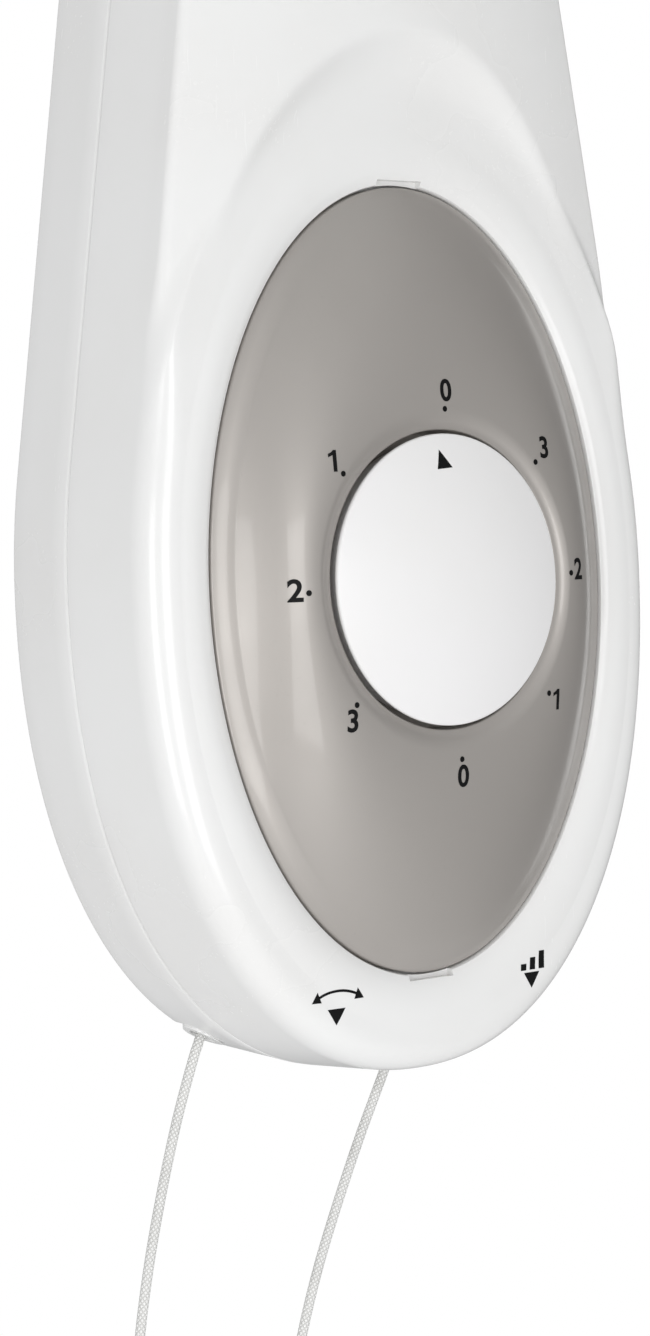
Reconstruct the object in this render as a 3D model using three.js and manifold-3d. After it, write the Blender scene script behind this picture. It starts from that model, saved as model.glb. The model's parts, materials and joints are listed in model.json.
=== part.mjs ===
// Wall mounted fan with pull-cord controls. Millimetres, +Z up. The wall is the plane y = 0 and the
// fan faces -Y, so a forward distance F from the wall lies at y = -F. The origin is on the wall, at
// the middle of the bracket that carries everything.
import * as THREE from 'three';
import ManifoldModule from 'manifold-3d';

const wasm = await ManifoldModule();
wasm.setup();

// ---------------------------------------------------------------- sizes
const SEAT_GAP = 0.3;          // between pieces that touch
const SHELL_WALL = 2.4;        // wall of the moulded housing
const DRAFT = 0.6;             // each side of the front shell draws in by this much towards the front

// Housing, front view: an oval pod round the dial, with straight sides tapering up from it
const DIAL_Z = -60;            // height of the dial's axis
const POD_HALF_WIDTH = 63.6;
const POD_HALF_HEIGHT = 97;
const POD_BOTTOM = DIAL_Z - POD_HALF_HEIGHT;
const TAPER_START = 23;        // above the dial's axis, where the oval runs on as a straight side
const REAR_SHELL_TOP = 104;
const REAR_TOP_CORNER = 7;
const OVAL_STEPS = 18;         // facets in half of the oval

// Housing, side view, as forward distances
const REAR_RIM = 0.6;
const REAR_PANEL = 4.8;        // back face of the panel that hangs on the bracket
const PARTING = 20;            // where the two shells meet
const TONGUE_DEPTH = 2.4;
const TONGUE_INSET = 1.35;
const POD_CREASE = 38.2;       // where the pod's side starts to round over
const BEZEL_OUTER = 45.5;
const BEZEL_CREST = 45.95;
const BEZEL_CREST_WIDTH = 4.3;
const PRY_NOTCH_HALF_WIDTH = 6;
const BEZEL_INNER = 44.8;
const DIAL_RIM = BEZEL_INNER - 0.8;    // the dial plate's rim
const RECESS_FLOOR = DIAL_RIM - 4;
const RECESS_HALF_WIDTH = 49.3;
const POD_FILLET = 6.6;
const NECK_FRONT = 50.5;       // middle of the neck's front
const NECK_CROWN = 8;          // the neck's front falls away to its sides by this much
const ARCH_INNER = 0.935;      // the scoop over the bezel, as shares of the pod's size
const ARCH_OUTER = 1.08;
const ARCH_DEPTH = 6.4;

// Neck, which leans forward above the rear shell
const LEAN_START = 62;
const NECK_TOP = 150;
const FRONT_LEAN = 80;
const REAR_LEAN = 67.7;

// Dial and controls
const PLATE_GAP = 0.4;
const PLATE_BEVEL = 4;
const DISH_LIP = 54.7;
const DISH_FLOOR = 47;
const PLATE_WALL = 2;
const KNOB_RADIUS = 27.5;
const DISH_LIP_RADIUS = KNOB_RADIUS + 3.5;
const KNOB_RIM = 54.5;
const KNOB_CROWN = 60;
const KNOB_EDGE = 2.8;
const SPINDLE_RADIUS = 3;
const SWITCH_SIDE = 40;
const SWITCH_DEPTH = 16;
const SWING_SWITCH_WIDTH = 20;
const SWING_SWITCH_HEIGHT = 24;
const SWING_SWITCH_DEPTH = 12;
const SWING_SWITCH_Z = POD_BOTTOM + 41;
const TERMINAL_WIDTH = 3;
const TERMINAL_THICK = 0.8;
const BLOCK_WIDTH = 36;        // the mains terminal block and the capacitor, on the back panel
const BLOCK_DEPTH = 11;
const BLOCK_PITCH = 8;
const BLOCK_LOW = -20;
const BLOCK_HIGH = -4;
const CAPACITOR_WIDTH = 34;
const CAPACITOR_DEPTH = 16;
const CAPACITOR_LOW = 7;
const CAPACITOR_HIGH = 33;

// Pull cords, which leave the housing through notches in its rear edge
const CORD_RADIUS = 1;
const CORD_FORWARD = 5;
const CORD_X = { swing: -25, speed: 25 };
const PULL_TRAVEL = 12;
const GUIDE_RADIUS = 3.8;
const GUIDE_TOP = POD_BOTTOM + 21;
const GUIDE_FLANGE_RADIUS = 5.2;
const GUIDE_FLANGE = 2;
const PLUNGER_RADIUS = 2.2;
const PLUNGER_FOOT = POD_BOTTOM + 16;
const PLUNGER_HEAD_RADIUS = 4.2;
const PLUNGER_HEAD = 3;
const BELL_RADIUS = 7;
const BELL_HEIGHT = 26;

// Where the mains lead would enter
const GROMMET_RADIUS = 5;
const GROMMET_RIM = 7.5;
const GROMMET_BORE = 3.4;
const GROMMET_Z = POD_BOTTOM + 45;

// Wall bracket and screws
const BRACKET_SHEET = 1.6;
const BRACKET_HALF_WIDTH = 28;
const BRACKET_LOW = -38;
const BRACKET_HIGH = 62;
const HOOK_X = 16;
const HOOK_WIDTH = 14;
const HOOK_Z = 52;
const HOOK_REACH = REAR_PANEL + SHELL_WALL + 3.8;
const HOOK_RISE = 7;
const BRACKET_HOLE_RADIUS = 2.75;
const BRACKET_HOLES = [[0, 40], [-18, -25], [18, -25]];
const SCREW_RADIUS = 1.5;
const SCREW_HEAD_RADIUS = 3;
const BOSS_RADIUS = 4;
const SCREW_LENGTH = 22;
const SCREW_LEVELS = [DIAL_Z - 40, REAR_SHELL_TOP - 26];
const SCREW_INSET = 10;        // from the housing's outline

// Tilt pivot and swing drum
const PIVOT_FORWARD = NECK_FRONT + FRONT_LEAN - 21.5;
const PIVOT_Z = NECK_TOP + 22;
const EAR_RADIUS = 11;
const EAR_SPACE = 15;          // from the middle to each ear
const EAR_THICK = 4;
const BOLT_RADIUS = 4;
const FLANGE_THICK = 3;
const STEM_INSET = 14;         // of the bracket's stem inside the neck
const STEM_DROP = 10;
const LOCK_KNOB_RADIUS = 15;
const LOCK_KNOB_DEPTH = 20;
const BOLT_END = 34;
const SWING_FORWARD = PIVOT_FORWARD + 17;
const DRUM_RADIUS = 30;
const DRUM_LOW = PIVOT_Z + 22;
const DRUM_HIGH = DRUM_LOW + 28;
const DRUM_WALL = 2.8;
const SPINDLE_TUBE_RADIUS = 7;

// Fan head, as distances forward of the swing axis
const STATOR_RADIUS = 46;
const STATOR_BORE = 25.3;
const CORE_BACK = -16;         // the stack of laminations
const CORE_FRONT = 12;
const WINDING = 10;            // how far the winding stands out of the stack
const AIR_GAP = 0.7;
const SHIELD_WALL = 3.7;
const SHIELD_BACK = CORE_BACK - WINDING - 10;
const SHIELD_JOINT = -2;
const MOTOR_WALL = 2.4;
const MOTOR_RADIUS = STATOR_RADIUS + SHIELD_WALL + MOTOR_WALL + 4.9;
const MOTOR_BACK = SHIELD_BACK - 25;
const MOTOR_FRONT = CORE_FRONT + 10;   // where the motor's two covers meet
const FAN_AXIS_Z = DRUM_HIGH + MOTOR_RADIUS + 11;
const MOTOR_SIDES = 22;
const VENT_COUNT = 8;
const SHAFT_RADIUS = 4;
const SHAFT_TIP = 0.6;         // chamfer at each end of the shaft
const BEARING_RADIUS = 9.2;
const BEARING_DEPTH = 13;
const GUARD_BOSS_RADIUS = 22;
const GUARD_SEAT = MOTOR_FRONT + 8.7;  // the face that the rear guard is clamped on
const GUARD_BOSS_FRONT = GUARD_SEAT + 13.3;
const GUARD_NUT_RADIUS = 41;
const GUARD_NUT_DEPTH = 9;
const GUARD_RADIUS = 214;
const GUARD_WIRE = 1.15;       // half the thickness of a guard wire
const GUARD_RING_WIRE = 1.8;
const GUARD_WIRES = 24;
const GUARD_MIDDLE = 91;       // where the two halves of the guard meet
const REAR_SHOULDER = 46;      // how far in from the rim each half of the guard turns
const REAR_SHOULDER_FORWARD = 48;
const FRONT_SHOULDER = 50;
const FRONT_SHOULDER_FORWARD = 142;
const FACE_RADIUS = 50;        // the ring round the badge
const FACE_FORWARD = 160;
const BADGE_DEPTH = 4.5;
const BLADE_COUNT = 3;
const BLADE_TIP_RADIUS = GUARD_RADIUS - 20;
const BLADE_HUB_RADIUS = 32;
const BLADE_MIDDLE = 82;
const BLADE_SHEET = 2.2;
const HUB_BACK = 60;
const HUB_FRONT = 104;
const HUB_WALL = 2.5;
const SPINNER_RADIUS = 13;
const SPINNER_DEPTH = 16.2;
const BAND_HALF = 8.4;         // half the width of the band round both guards
const BAND_WALL = 2.2;
const BAND_SCREW_RADIUS = 1.8;
const BAND_EAR = 9;            // drop of the band's ears below it
const BAND_EAR_NEAR = 2;       // the ears' faces, from the middle
const BAND_EAR_FAR = 6;

// ---------------------------------------------------------------- materials
const surface = (color, roughness, metalness) => (
  new THREE.MeshStandardMaterial({ color, roughness, metalness }));
const plastic = (colour, roughness) => surface(colour, roughness, 0);
const metal = (colour, roughness) => surface(colour, roughness, 1);
const WHITE = plastic(0xf1f1ef, 0.2);
const DIAL_GREY = plastic(0xa9a39d, 0.22);
const BLACK_PLASTIC = plastic(0x26272a, 0.5);
const BLADE_PLASTIC = plastic(0xdfe5e8, 0.15);
const CORD_WHITE = plastic(0xe4e2dc, 0.85);
const RUBBER = plastic(0x2b2b2b, 0.8);
const COPPER = metal(0xb06a3a, 0.4);
const STEEL = metal(0xb9bcc0, 0.35);
const WIRE_WHITE = plastic(0xe9e9e7, 0.35);
const CAST_ALUMINIUM = metal(0xa8abae, 0.5);
const LAMINATION = metal(0x70747a, 0.55);

// ---------------------------------------------------------------- making and joining solids
const WELD = 1e-4;

function signedVolume(corners, triangles) {
  let volume = 0;
  for (let k = 0; k < triangles.length; k += 3) {
    const [a, b, c] = [0, 1, 2].map((j) => new THREE.Vector3().fromArray(corners, 3 * triangles[k + j]));
    volume += a.dot(b.cross(c)) / 6;
  }
  return volume;
}

// Welds equal corners, drops triangles without area and turns the skin outwards.
function solid(shape) {
  if (!shape.isBufferGeometry) return shape;
  const position = shape.getAttribute('position');
  const index = shape.getIndex();
  const count = index ? index.count : position.count;
  const places = new Map();
  const corners = [];
  const triangles = [];
  const cornerOf = (k) => {
    const i = index ? index.getX(k) : k;
    const place = [position.getX(i), position.getY(i), position.getZ(i)];
    const key = place.map((c) => Math.round(c / WELD)).join();
    if (!places.has(key)) {
      places.set(key, corners.length / 3);
      corners.push(...place);
    }
    return places.get(key);
  };
  for (let k = 0; k < count; k += 3) {
    const [a, b, c] = [cornerOf(k), cornerOf(k + 1), cornerOf(k + 2)];
    if (a !== b && b !== c && c !== a) triangles.push(a, b, c);
  }
  if (signedVolume(corners, triangles) < 0) triangles.reverse();
  const vertProperties = Float32Array.from(corners);
  const triVerts = Uint32Array.from(triangles);
  return new wasm.Manifold(new wasm.Mesh({ numProp: 3, vertProperties, triVerts }));
}

const join = (...shapes) => shapes.map(solid).reduce((a, b) => a.add(b));
const cut = (shape, ...tools) => solid(shape).subtract(join(...tools));
const common = (a, b) => solid(a).intersect(solid(b));

function geometryOf(shape) {
  const mesh = solid(shape).getMesh();
  const geometry = new THREE.BufferGeometry();
  geometry.setAttribute('position', new THREE.BufferAttribute(mesh.vertProperties, 3));
  geometry.setIndex(new THREE.BufferAttribute(mesh.triVerts, 1));
  geometry.computeVertexNormals();
  return geometry;
}

// ---------------------------------------------------------------- basic forms
const at = (x, forward, z) => new THREE.Vector3(x, -forward, z);

function block([x0, x1], [forward0, forward1], [z0, z1]) {
  const geometry = new THREE.BoxGeometry(x1 - x0, forward1 - forward0, z1 - z0);
  return geometry.translate((x0 + x1) / 2, -(forward0 + forward1) / 2, (z0 + z1) / 2);
}

function barAcross(radius, [x0, x1], forward, z, sides = 16) {
  const geometry = new THREE.CylinderGeometry(radius, radius, x1 - x0, sides).rotateZ(Math.PI / 2);
  return geometry.translate((x0 + x1) / 2, -forward, z);
}

function barForward(radius, x, [forward0, forward1], z, sides = 16) {
  const geometry = new THREE.CylinderGeometry(radius, radius, forward1 - forward0, sides);
  return geometry.translate(x, -(forward0 + forward1) / 2, z);
}

function barUp(radius, x, forward, [z0, z1], sides = 16) {
  const geometry = new THREE.CylinderGeometry(radius, radius, z1 - z0, sides).rotateX(Math.PI / 2);
  return geometry.translate(x, -forward, (z0 + z1) / 2);
}

const lathe = (points, sides) => new THREE.LatheGeometry(points.map((p) => new THREE.Vector2(...p)), sides);
// A turned form whose profile gives radius and forward distance.
const turned = (points, sides = 32) => lathe(points, sides).rotateX(Math.PI);
// A turned form whose profile gives radius and height.
const turnedUp = (points, sides = 24) => lathe(points, sides).rotateX(Math.PI / 2);
// The pod's own oval, round the dial's axis: a turned form stretched upwards.
const oval = (points) => turned(points, 2 * OVAL_STEPS)
  .scale(1, 1, POD_HALF_HEIGHT / POD_HALF_WIDTH)
  .translate(0, 0, DIAL_Z);

// Points of a soft corner from one point to another, drawn towards a third.
function corner(from, towards, to, steps) {
  const curve = new THREE.QuadraticBezierCurve(
    new THREE.Vector2(...from),
    new THREE.Vector2(...towards),
    new THREE.Vector2(...to),
  );
  return curve.getPoints(steps).map((p) => [p.x, p.y]);
}

const seenAlong = (ring, drop) => {
  const [u, v] = [0, 1, 2].filter((axis) => axis !== drop);
  return ring.map((p) => new THREE.Vector2(p.getComponent(u), p.getComponent(v)));
};
const ringArea = (ring, drop) => THREE.ShapeUtils.area(seenAlong(ring, drop));

// Triangles over a flat ring, all wound the way the ring runs.
function capOf(ring) {
  const drop = [0, 1, 2].reduce((best, axis) => (
    Math.abs(ringArea(ring, axis)) > Math.abs(ringArea(ring, best)) ? axis : best), 0);
  const faces = THREE.ShapeUtils.triangulateShape(seenAlong(ring, drop), []);
  const way = Math.sign(ringArea(ring, drop));
  return faces.map((face) => {
    const area = ringArea(face.map((k) => ring[k]), drop);
    return Math.sign(area) === way ? face : [...face].reverse();
  });
}

// A skin over rings with equal numbers of corners, closed by flat ends, or back to its first ring.
function loft(rings, backToFirst = false) {
  const sides = rings[0].length;
  const index = [];
  const spans = backToFirst ? rings.length : rings.length - 1;
  for (let r = 0; r < spans; r += 1) {
    const [here, next] = [r * sides, ((r + 1) % rings.length) * sides];
    for (let s = 0; s < sides; s += 1) {
      const t = (s + 1) % sides;
      index.push(here + s, here + t, next + t, here + s, next + t, next + s);
    }
  }
  if (!backToFirst) {
    const last = (rings.length - 1) * sides;
    capOf(rings[0]).forEach(([a, b, c]) => index.push(c, b, a));
    capOf(rings[rings.length - 1]).forEach(([a, b, c]) => index.push(last + a, last + b, last + c));
  }
  const geometry = new THREE.BufferGeometry();
  geometry.setFromPoints(rings.flat());
  geometry.setIndex(index);
  return geometry;
}

// A flat outline drawn as [forward, height] and given a thickness across the fan.
function sidePlate(shape, [x0, x1], curveSegments = 6) {
  const geometry = new THREE.ExtrudeGeometry(shape, { depth: x1 - x0, bevelEnabled: false, curveSegments });
  const turn = new THREE.Matrix4().set(0, 0, 1, x0, -1, 0, 0, 0, 0, 1, 0, 0, 0, 0, 0, 1);
  return geometry.applyMatrix4(turn);
}

// ---------------------------------------------------------------- the housing's outline and the neck
const TAPER_SLOPE = (POD_HALF_WIDTH * TAPER_START / POD_HALF_HEIGHT ** 2)
  / Math.sqrt(1 - (TAPER_START / POD_HALF_HEIGHT) ** 2);
const TAPER_HALF_WIDTH = POD_HALF_WIDTH * Math.sqrt(1 - (TAPER_START / POD_HALF_HEIGHT) ** 2);
const halfWidthAt = (z) => TAPER_HALF_WIDTH - TAPER_SLOPE * (z - DIAL_Z - TAPER_START);
const ovalHalfWidthAt = (z) => POD_HALF_WIDTH * Math.sqrt(1 - ((z - DIAL_Z) / POD_HALF_HEIGHT) ** 2);
const SCREWS = SCREW_LEVELS.flatMap((z) => {
  const edge = z < DIAL_Z + TAPER_START ? ovalHalfWidthAt(z) : halfWidthAt(z);
  return [[SCREW_INSET - edge, z], [edge - SCREW_INSET, z]];
});

// The right half of the outline from the lowest point up, as places with their outward directions.
function outlineHalf() {
  const points = [];
  const oneStep = Math.PI / OVAL_STEPS;
  const endAngle = Math.asin(TAPER_START / POD_HALF_HEIGHT);
  for (let angle = -Math.PI / 2; angle < endAngle - oneStep / 3; angle += oneStep) {
    points.push([Math.cos(angle) * POD_HALF_WIDTH, Math.sin(angle) * POD_HALF_HEIGHT, angle]);
  }
  const places = [...points, [TAPER_HALF_WIDTH, TAPER_START, endAngle]].map(([x, z, angle]) => {
    const out = new THREE.Vector2(Math.cos(angle) / POD_HALF_WIDTH, Math.sin(angle) / POD_HALF_HEIGHT);
    return { x, z: DIAL_Z + z, out: out.normalize() };
  });
  const side = places[places.length - 1].out;
  const cornerZ = REAR_SHELL_TOP - REAR_TOP_CORNER;
  const sideX = halfWidthAt(cornerZ) - REAR_TOP_CORNER / side.x;
  const [from, to] = [Math.atan2(side.y, side.x), Math.PI / 2];
  for (let k = 0; k <= 3; k += 1) {
    const out = new THREE.Vector2(1, 0).rotateAround(new THREE.Vector2(), from + (to - from) * (k / 3));
    places.push({ x: sideX + REAR_TOP_CORNER * out.x, z: cornerZ + REAR_TOP_CORNER * out.y, out });
  }
  return places;
}

const OUTLINE_HALF = outlineHalf();

// The housing's outline drawn in by `inset`, at a forward distance.
function outline(inset, forward) {
  const right = OUTLINE_HALF.map(({ x, z, out }) => at(x - inset * out.x, forward, z - inset * out.y));
  const left = right.slice(1).reverse().map((p) => new THREE.Vector3(-p.x, p.y, p.z));
  return [...right, ...left];
}

const smooth = (t) => THREE.MathUtils.smoothstep(t, 0, 1);
const share = (value, low, high) => THREE.MathUtils.clamp((value - low) / (high - low), 0, 1);
const neckFront = (z) => NECK_FRONT + FRONT_LEAN * share(z, LEAN_START, NECK_TOP) ** 1.8;
const neckRear = (z) => PARTING + SEAT_GAP + REAR_LEAN * share(z, REAR_SHELL_TOP, NECK_TOP) ** 1.15;
const neckCrown = (z) => NECK_CROWN - 2 * share(z, LEAN_START, NECK_TOP);
const creaseSharpness = (z) => smooth(share(z, DIAL_Z + TAPER_START, DIAL_Z + 65));
const creaseRadius = (z) => POD_FILLET - (POD_FILLET - 1.5) * creaseSharpness(z);
const neckSkin = (x, z) => neckFront(z) - neckCrown(z) * (x / (halfWidthAt(z) - DRAFT)) ** 2;
const rearRadius = (z) => 0.5 + 9 * share(z, REAR_SHELL_TOP, NECK_TOP);

// A level section of the neck at height z, drawn in by `inset`, and laid at the height `level`.
function neckSection(z, inset = 0, level = z) {
  const halfWidth = halfWidthAt(z) - inset;
  const frontWidth = halfWidth - DRAFT;
  const rear = neckRear(z) + inset;
  const front = neckFront(z) - inset;
  const crown = neckCrown(z);
  const frontAt = (x) => front - crown * (x / frontWidth) ** 2;
  const crease = Math.max(creaseRadius(z) - inset / 2, 0.6);
  const rounding = Math.max(rearRadius(z) - inset, 0.3);
  const half = [
    ...corner([halfWidth - rounding, rear], [halfWidth, rear], [halfWidth, rear + rounding], 1),
    ...corner(
      [frontWidth, front - crown - crease],
      [frontWidth, front - crown],
      [frontWidth - crease, frontAt(frontWidth - crease)],
      2,
    ),
    ...[0.62, 0.32].map((t) => [t * frontWidth, frontAt(t * frontWidth)]),
  ];
  const mirrored = [...half].reverse().map(([x, forward]) => [-x, forward]);
  return [...half, [0, front], ...mirrored].map(([x, forward]) => at(x, forward, level));
}

const spread = (low, high, steps) => (
  Array.from({ length: steps }, (_, k) => low + (high - low) * (k / steps)));
const NECK_MARKS = [
  ...spread(DIAL_Z + TAPER_START, LEAN_START, 4),
  ...spread(LEAN_START, REAR_SHELL_TOP, 2),
  ...spread(REAR_SHELL_TOP, NECK_TOP, 3),
];
const neckHeights = (from, to) => [from, ...NECK_MARKS.filter((z) => z > from && z < to), to];
const neck = (from, to, inset) => loft(neckHeights(from, to).map((z) => neckSection(z, inset)));

const BELOW_POD = POD_BOTTOM - 1;
const WINDOW_LOW = GUIDE_TOP - GUIDE_FLANGE - SEAT_GAP;
const WINDOW_TOP = GUIDE_TOP + PULL_TRAVEL + PLUNGER_HEAD + 2;

// The tool that sinks the bezel below the neck's front. Its wall rises in a scoop. `behind` moves it back.
function archTool(behind) {
  const floor = BEZEL_OUTER - 0.5 - behind;
  const rise = (t) => [
    POD_HALF_WIDTH * (ARCH_INNER + (ARCH_OUTER - ARCH_INNER) * t),
    floor + ARCH_DEPTH * t ** 1.6,
  ];
  const lip = rise(1);
  const scoop = [0, 0.45, 0.75].map(rise);
  return oval([[0, floor], ...scoop, lip, [lip[0] + 1, lip[1] + 20], [0, lip[1] + 20]]);
}

// ---------------------------------------------------------------- housing pieces
const hookSlot = (x) => block(
  [x - HOOK_WIDTH / 2 - 0.6, x + HOOK_WIDTH / 2 + 0.6],
  [REAR_PANEL - 1, REAR_PANEL + SHELL_WALL + 1],
  [HOOK_Z - 10, HOOK_Z + SEAT_GAP],
);

// A notch through the rear edge for a cord's guide, and a window in the panel for its plunger.
function cordNotch(x) {
  const seat = GUIDE_RADIUS + SEAT_GAP;
  const clear = GUIDE_FLANGE_RADIUS + SEAT_GAP;
  return [
    barUp(seat, x, CORD_FORWARD, [BELOW_POD, GUIDE_TOP], 12),
    block([x - seat, x + seat], [REAR_RIM - 1, CORD_FORWARD], [BELOW_POD, GUIDE_TOP]),
    block([x - clear, x + clear], [REAR_RIM, CORD_FORWARD + clear], [WINDOW_LOW, WINDOW_TOP]),
  ];
}

function rearShell() {
  const body = loft([outline(1.4, REAR_RIM), outline(0, PARTING)]);
  const tongue = loft([outline(TONGUE_INSET, PARTING - 1), outline(TONGUE_INSET, PARTING + TONGUE_DEPTH)]);
  const inside = loft([
    outline(SHELL_WALL + 1.2, REAR_PANEL + SHELL_WALL),
    outline(SHELL_WALL, PARTING + TONGUE_DEPTH + 1),
  ]);
  const back = loft([outline(SHELL_WALL + 1.4, REAR_RIM - 1), outline(SHELL_WALL + 1.2, REAR_PANEL)]);
  const panel = [REAR_PANEL - 1, REAR_PANEL + SHELL_WALL + 1];
  return cut(
    join(body, tongue),
    inside,
    back,
    ...SCREWS.map(([x, z]) => barForward(SCREW_RADIUS + SEAT_GAP, x, panel, z, 10)),
    ...Object.values(CORD_X).flatMap(cordNotch),
    hookSlot(-HOOK_X),
    hookSlot(HOOK_X),
    barForward(GROMMET_RADIUS + SEAT_GAP, 0, panel, GROMMET_Z, 16),
  );
}

function podBody() {
  const side = POD_HALF_WIDTH - DRAFT;
  const edge = corner(
    [side, POD_CREASE],
    [side, BEZEL_OUTER - 0.4],
    [side - POD_FILLET, BEZEL_OUTER + 0.1],
    3,
  );
  const crest = [[RECESS_HALF_WIDTH + BEZEL_CREST_WIDTH, BEZEL_CREST], [RECESS_HALF_WIDTH, BEZEL_INNER]];
  const start = PARTING + SEAT_GAP;
  return oval([[0, start], [POD_HALF_WIDTH, start], ...edge, ...crest, [0, BEZEL_INNER]]);
}

function frontShell() {
  const top = cut(neck(DIAL_Z + TAPER_START, NECK_TOP, 0), archTool(0));
  const behindDial = RECESS_FLOOR - SHELL_WALL;
  const lowCavity = loft([outline(SHELL_WALL, PARTING - 1), outline(SHELL_WALL + 1, behindDial)]);
  const highCavity = cut(neck(DIAL_Z + 80, NECK_TOP + 1, SHELL_WALL), archTool(SHELL_WALL));
  const rebate = loft([
    outline(TONGUE_INSET - SEAT_GAP, PARTING - 1),
    outline(TONGUE_INSET - SEAT_GAP, PARTING + TONGUE_DEPTH + SEAT_GAP),
  ]);
  const recess = oval([
    [0, RECESS_FLOOR],
    [RECESS_HALF_WIDTH, RECESS_FLOOR],
    [RECESS_HALF_WIDTH, BEZEL_CREST + 8],
    [0, BEZEL_CREST + 8],
  ]);
  const notch = (side) => {
    const edge = DIAL_Z + side * RECESS_HALF_WIDTH * POD_HALF_HEIGHT / POD_HALF_WIDTH;
    const across = [-PRY_NOTCH_HALF_WIDTH, PRY_NOTCH_HALF_WIDTH];
    return block(across, [DIAL_RIM - 1.6, DIAL_RIM + 6], [edge - 1.6, edge + 1.6]);
  };
  const bossFront = (x, z) => (z > DIAL_Z ? neckSkin(x, z) - SHELL_WALL / 2 : behindDial + 1);
  const bossRear = REAR_PANEL + SHELL_WALL + SEAT_GAP;
  const bosses = SCREWS.map(([x, z]) => barForward(BOSS_RADIUS, x, [bossRear, bossFront(x, z)], z, 10));
  const pilots = SCREWS.map(([x, z]) => (
    barForward(SCREW_RADIUS + SEAT_GAP, x, [bossRear - 1, REAR_PANEL + SCREW_LENGTH + 1], z, 10)));
  return cut(
    join(cut(join(podBody(), top), lowCavity, highCavity, rebate), ...bosses),
    recess,
    notch(1),
    notch(-1),
    ...pilots,
    barForward(SPINDLE_RADIUS + 1, 0, [behindDial - 1, RECESS_FLOOR + 1], DIAL_Z, 16),
  );
}

function wallBracket() {
  const hook = (x) => join(
    block([x - HOOK_WIDTH / 2, x + HOOK_WIDTH / 2], [0.5, HOOK_REACH], [HOOK_Z - BRACKET_SHEET, HOOK_Z]),
    block(
      [x - HOOK_WIDTH / 2, x + HOOK_WIDTH / 2],
      [HOOK_REACH - BRACKET_SHEET, HOOK_REACH],
      [HOOK_Z - 0.5, HOOK_Z + HOOK_RISE],
    ),
  );
  const plate = new THREE.Shape();
  const [half, low, high, round] = [BRACKET_HALF_WIDTH, BRACKET_LOW, BRACKET_HIGH, 6];
  plate.moveTo(half - round, low);
  plate.absarc(half - round, low + round, round, -Math.PI / 2, 0);
  plate.absarc(half - round, high - round, round, 0, Math.PI / 2);
  plate.absarc(round - half, high - round, round, Math.PI / 2, Math.PI);
  plate.absarc(round - half, low + round, round, Math.PI, 1.5 * Math.PI);
  const settings = { depth: BRACKET_SHEET, bevelEnabled: false, curveSegments: 3 };
  const sheet = new THREE.ExtrudeGeometry(plate, settings);
  const holes = BRACKET_HOLES.map(([x, z]) => (
    barForward(BRACKET_HOLE_RADIUS, x, [-1, BRACKET_SHEET + 1], z, 10)));
  return cut(join(sheet.rotateX(Math.PI / 2), hook(-HOOK_X), hook(HOOK_X)), ...holes);
}

function shellScrew([x, z]) {
  const head = REAR_PANEL - SEAT_GAP;
  const points = [
    [0, head - 2],
    [SCREW_HEAD_RADIUS, head - 2],
    [SCREW_HEAD_RADIUS, head],
    [SCREW_RADIUS, head],
    [SCREW_RADIUS, REAR_PANEL + SCREW_LENGTH - 2],
    [0, REAR_PANEL + SCREW_LENGTH],
  ];
  const slot = block([-0.5, 0.5], [head - 3, head - 1.1], [-SCREW_HEAD_RADIUS - 1, SCREW_HEAD_RADIUS + 1]);
  return geometryOf(cut(turned(points, 10), slot)).translate(x, 0, z);
}

// ---------------------------------------------------------------- dial and switches
// A ring between the plate's oval rim (t = 0) and the round dish (t = 1).
function dialRing(halfWidth, halfHeight, forward) {
  const steps = 2 * OVAL_STEPS;
  return Array.from({ length: steps }, (_, k) => {
    const angle = (2 * Math.PI * k) / steps;
    return at(halfWidth * Math.cos(angle), forward, DIAL_Z + halfHeight * Math.sin(angle));
  });
}

function dialPlate() {
  const width = RECESS_HALF_WIDTH - PLATE_GAP;
  const height = RECESS_HALF_WIDTH * POD_HALF_HEIGHT / POD_HALF_WIDTH - PLATE_GAP;
  const [bevelWidth, bevelHeight] = [width - PLATE_BEVEL, height - PLATE_BEVEL];
  const bevelTop = DIAL_RIM + 1.7;
  const dome = (t, drop) => {
    const rise = bevelTop + (DISH_LIP - bevelTop) * Math.sin((t * Math.PI) / 2) ** 0.9;
    const mix = (a, b) => a + (b - a) * t;
    return dialRing(mix(bevelWidth, DISH_LIP_RADIUS), mix(bevelHeight, DISH_LIP_RADIUS), rise - drop);
  };
  const rear = RECESS_FLOOR + SEAT_GAP;
  const front = [
    dialRing(width, height, rear),
    dialRing(width, height, DIAL_RIM),
    dome(0, 0),
    dome(0.3, 0),
    dome(0.65, 0),
    dome(1, 0),
    dialRing(DISH_LIP_RADIUS - 1, DISH_LIP_RADIUS - 1, DISH_LIP - 0.5),
    dialRing(KNOB_RADIUS + 1.2, KNOB_RADIUS + 1.2, DISH_FLOOR),
    dialRing(SPINDLE_RADIUS + 1.5, SPINDLE_RADIUS + 1.5, DISH_FLOOR),
  ];
  const back = [
    dialRing(SPINDLE_RADIUS + 1.5, SPINDLE_RADIUS + 1.5, DISH_FLOOR - PLATE_WALL),
    dialRing(DISH_LIP_RADIUS, DISH_LIP_RADIUS, DISH_FLOOR - PLATE_WALL),
    dialRing(DISH_LIP_RADIUS + 1.6, DISH_LIP_RADIUS + 1.6, DISH_LIP - PLATE_WALL - 1.6),
    dialRing(bevelWidth, bevelHeight, bevelTop - PLATE_WALL),
    dialRing(bevelWidth, bevelHeight, rear),
  ];
  return loft([...front, ...back], true);
}

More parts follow.
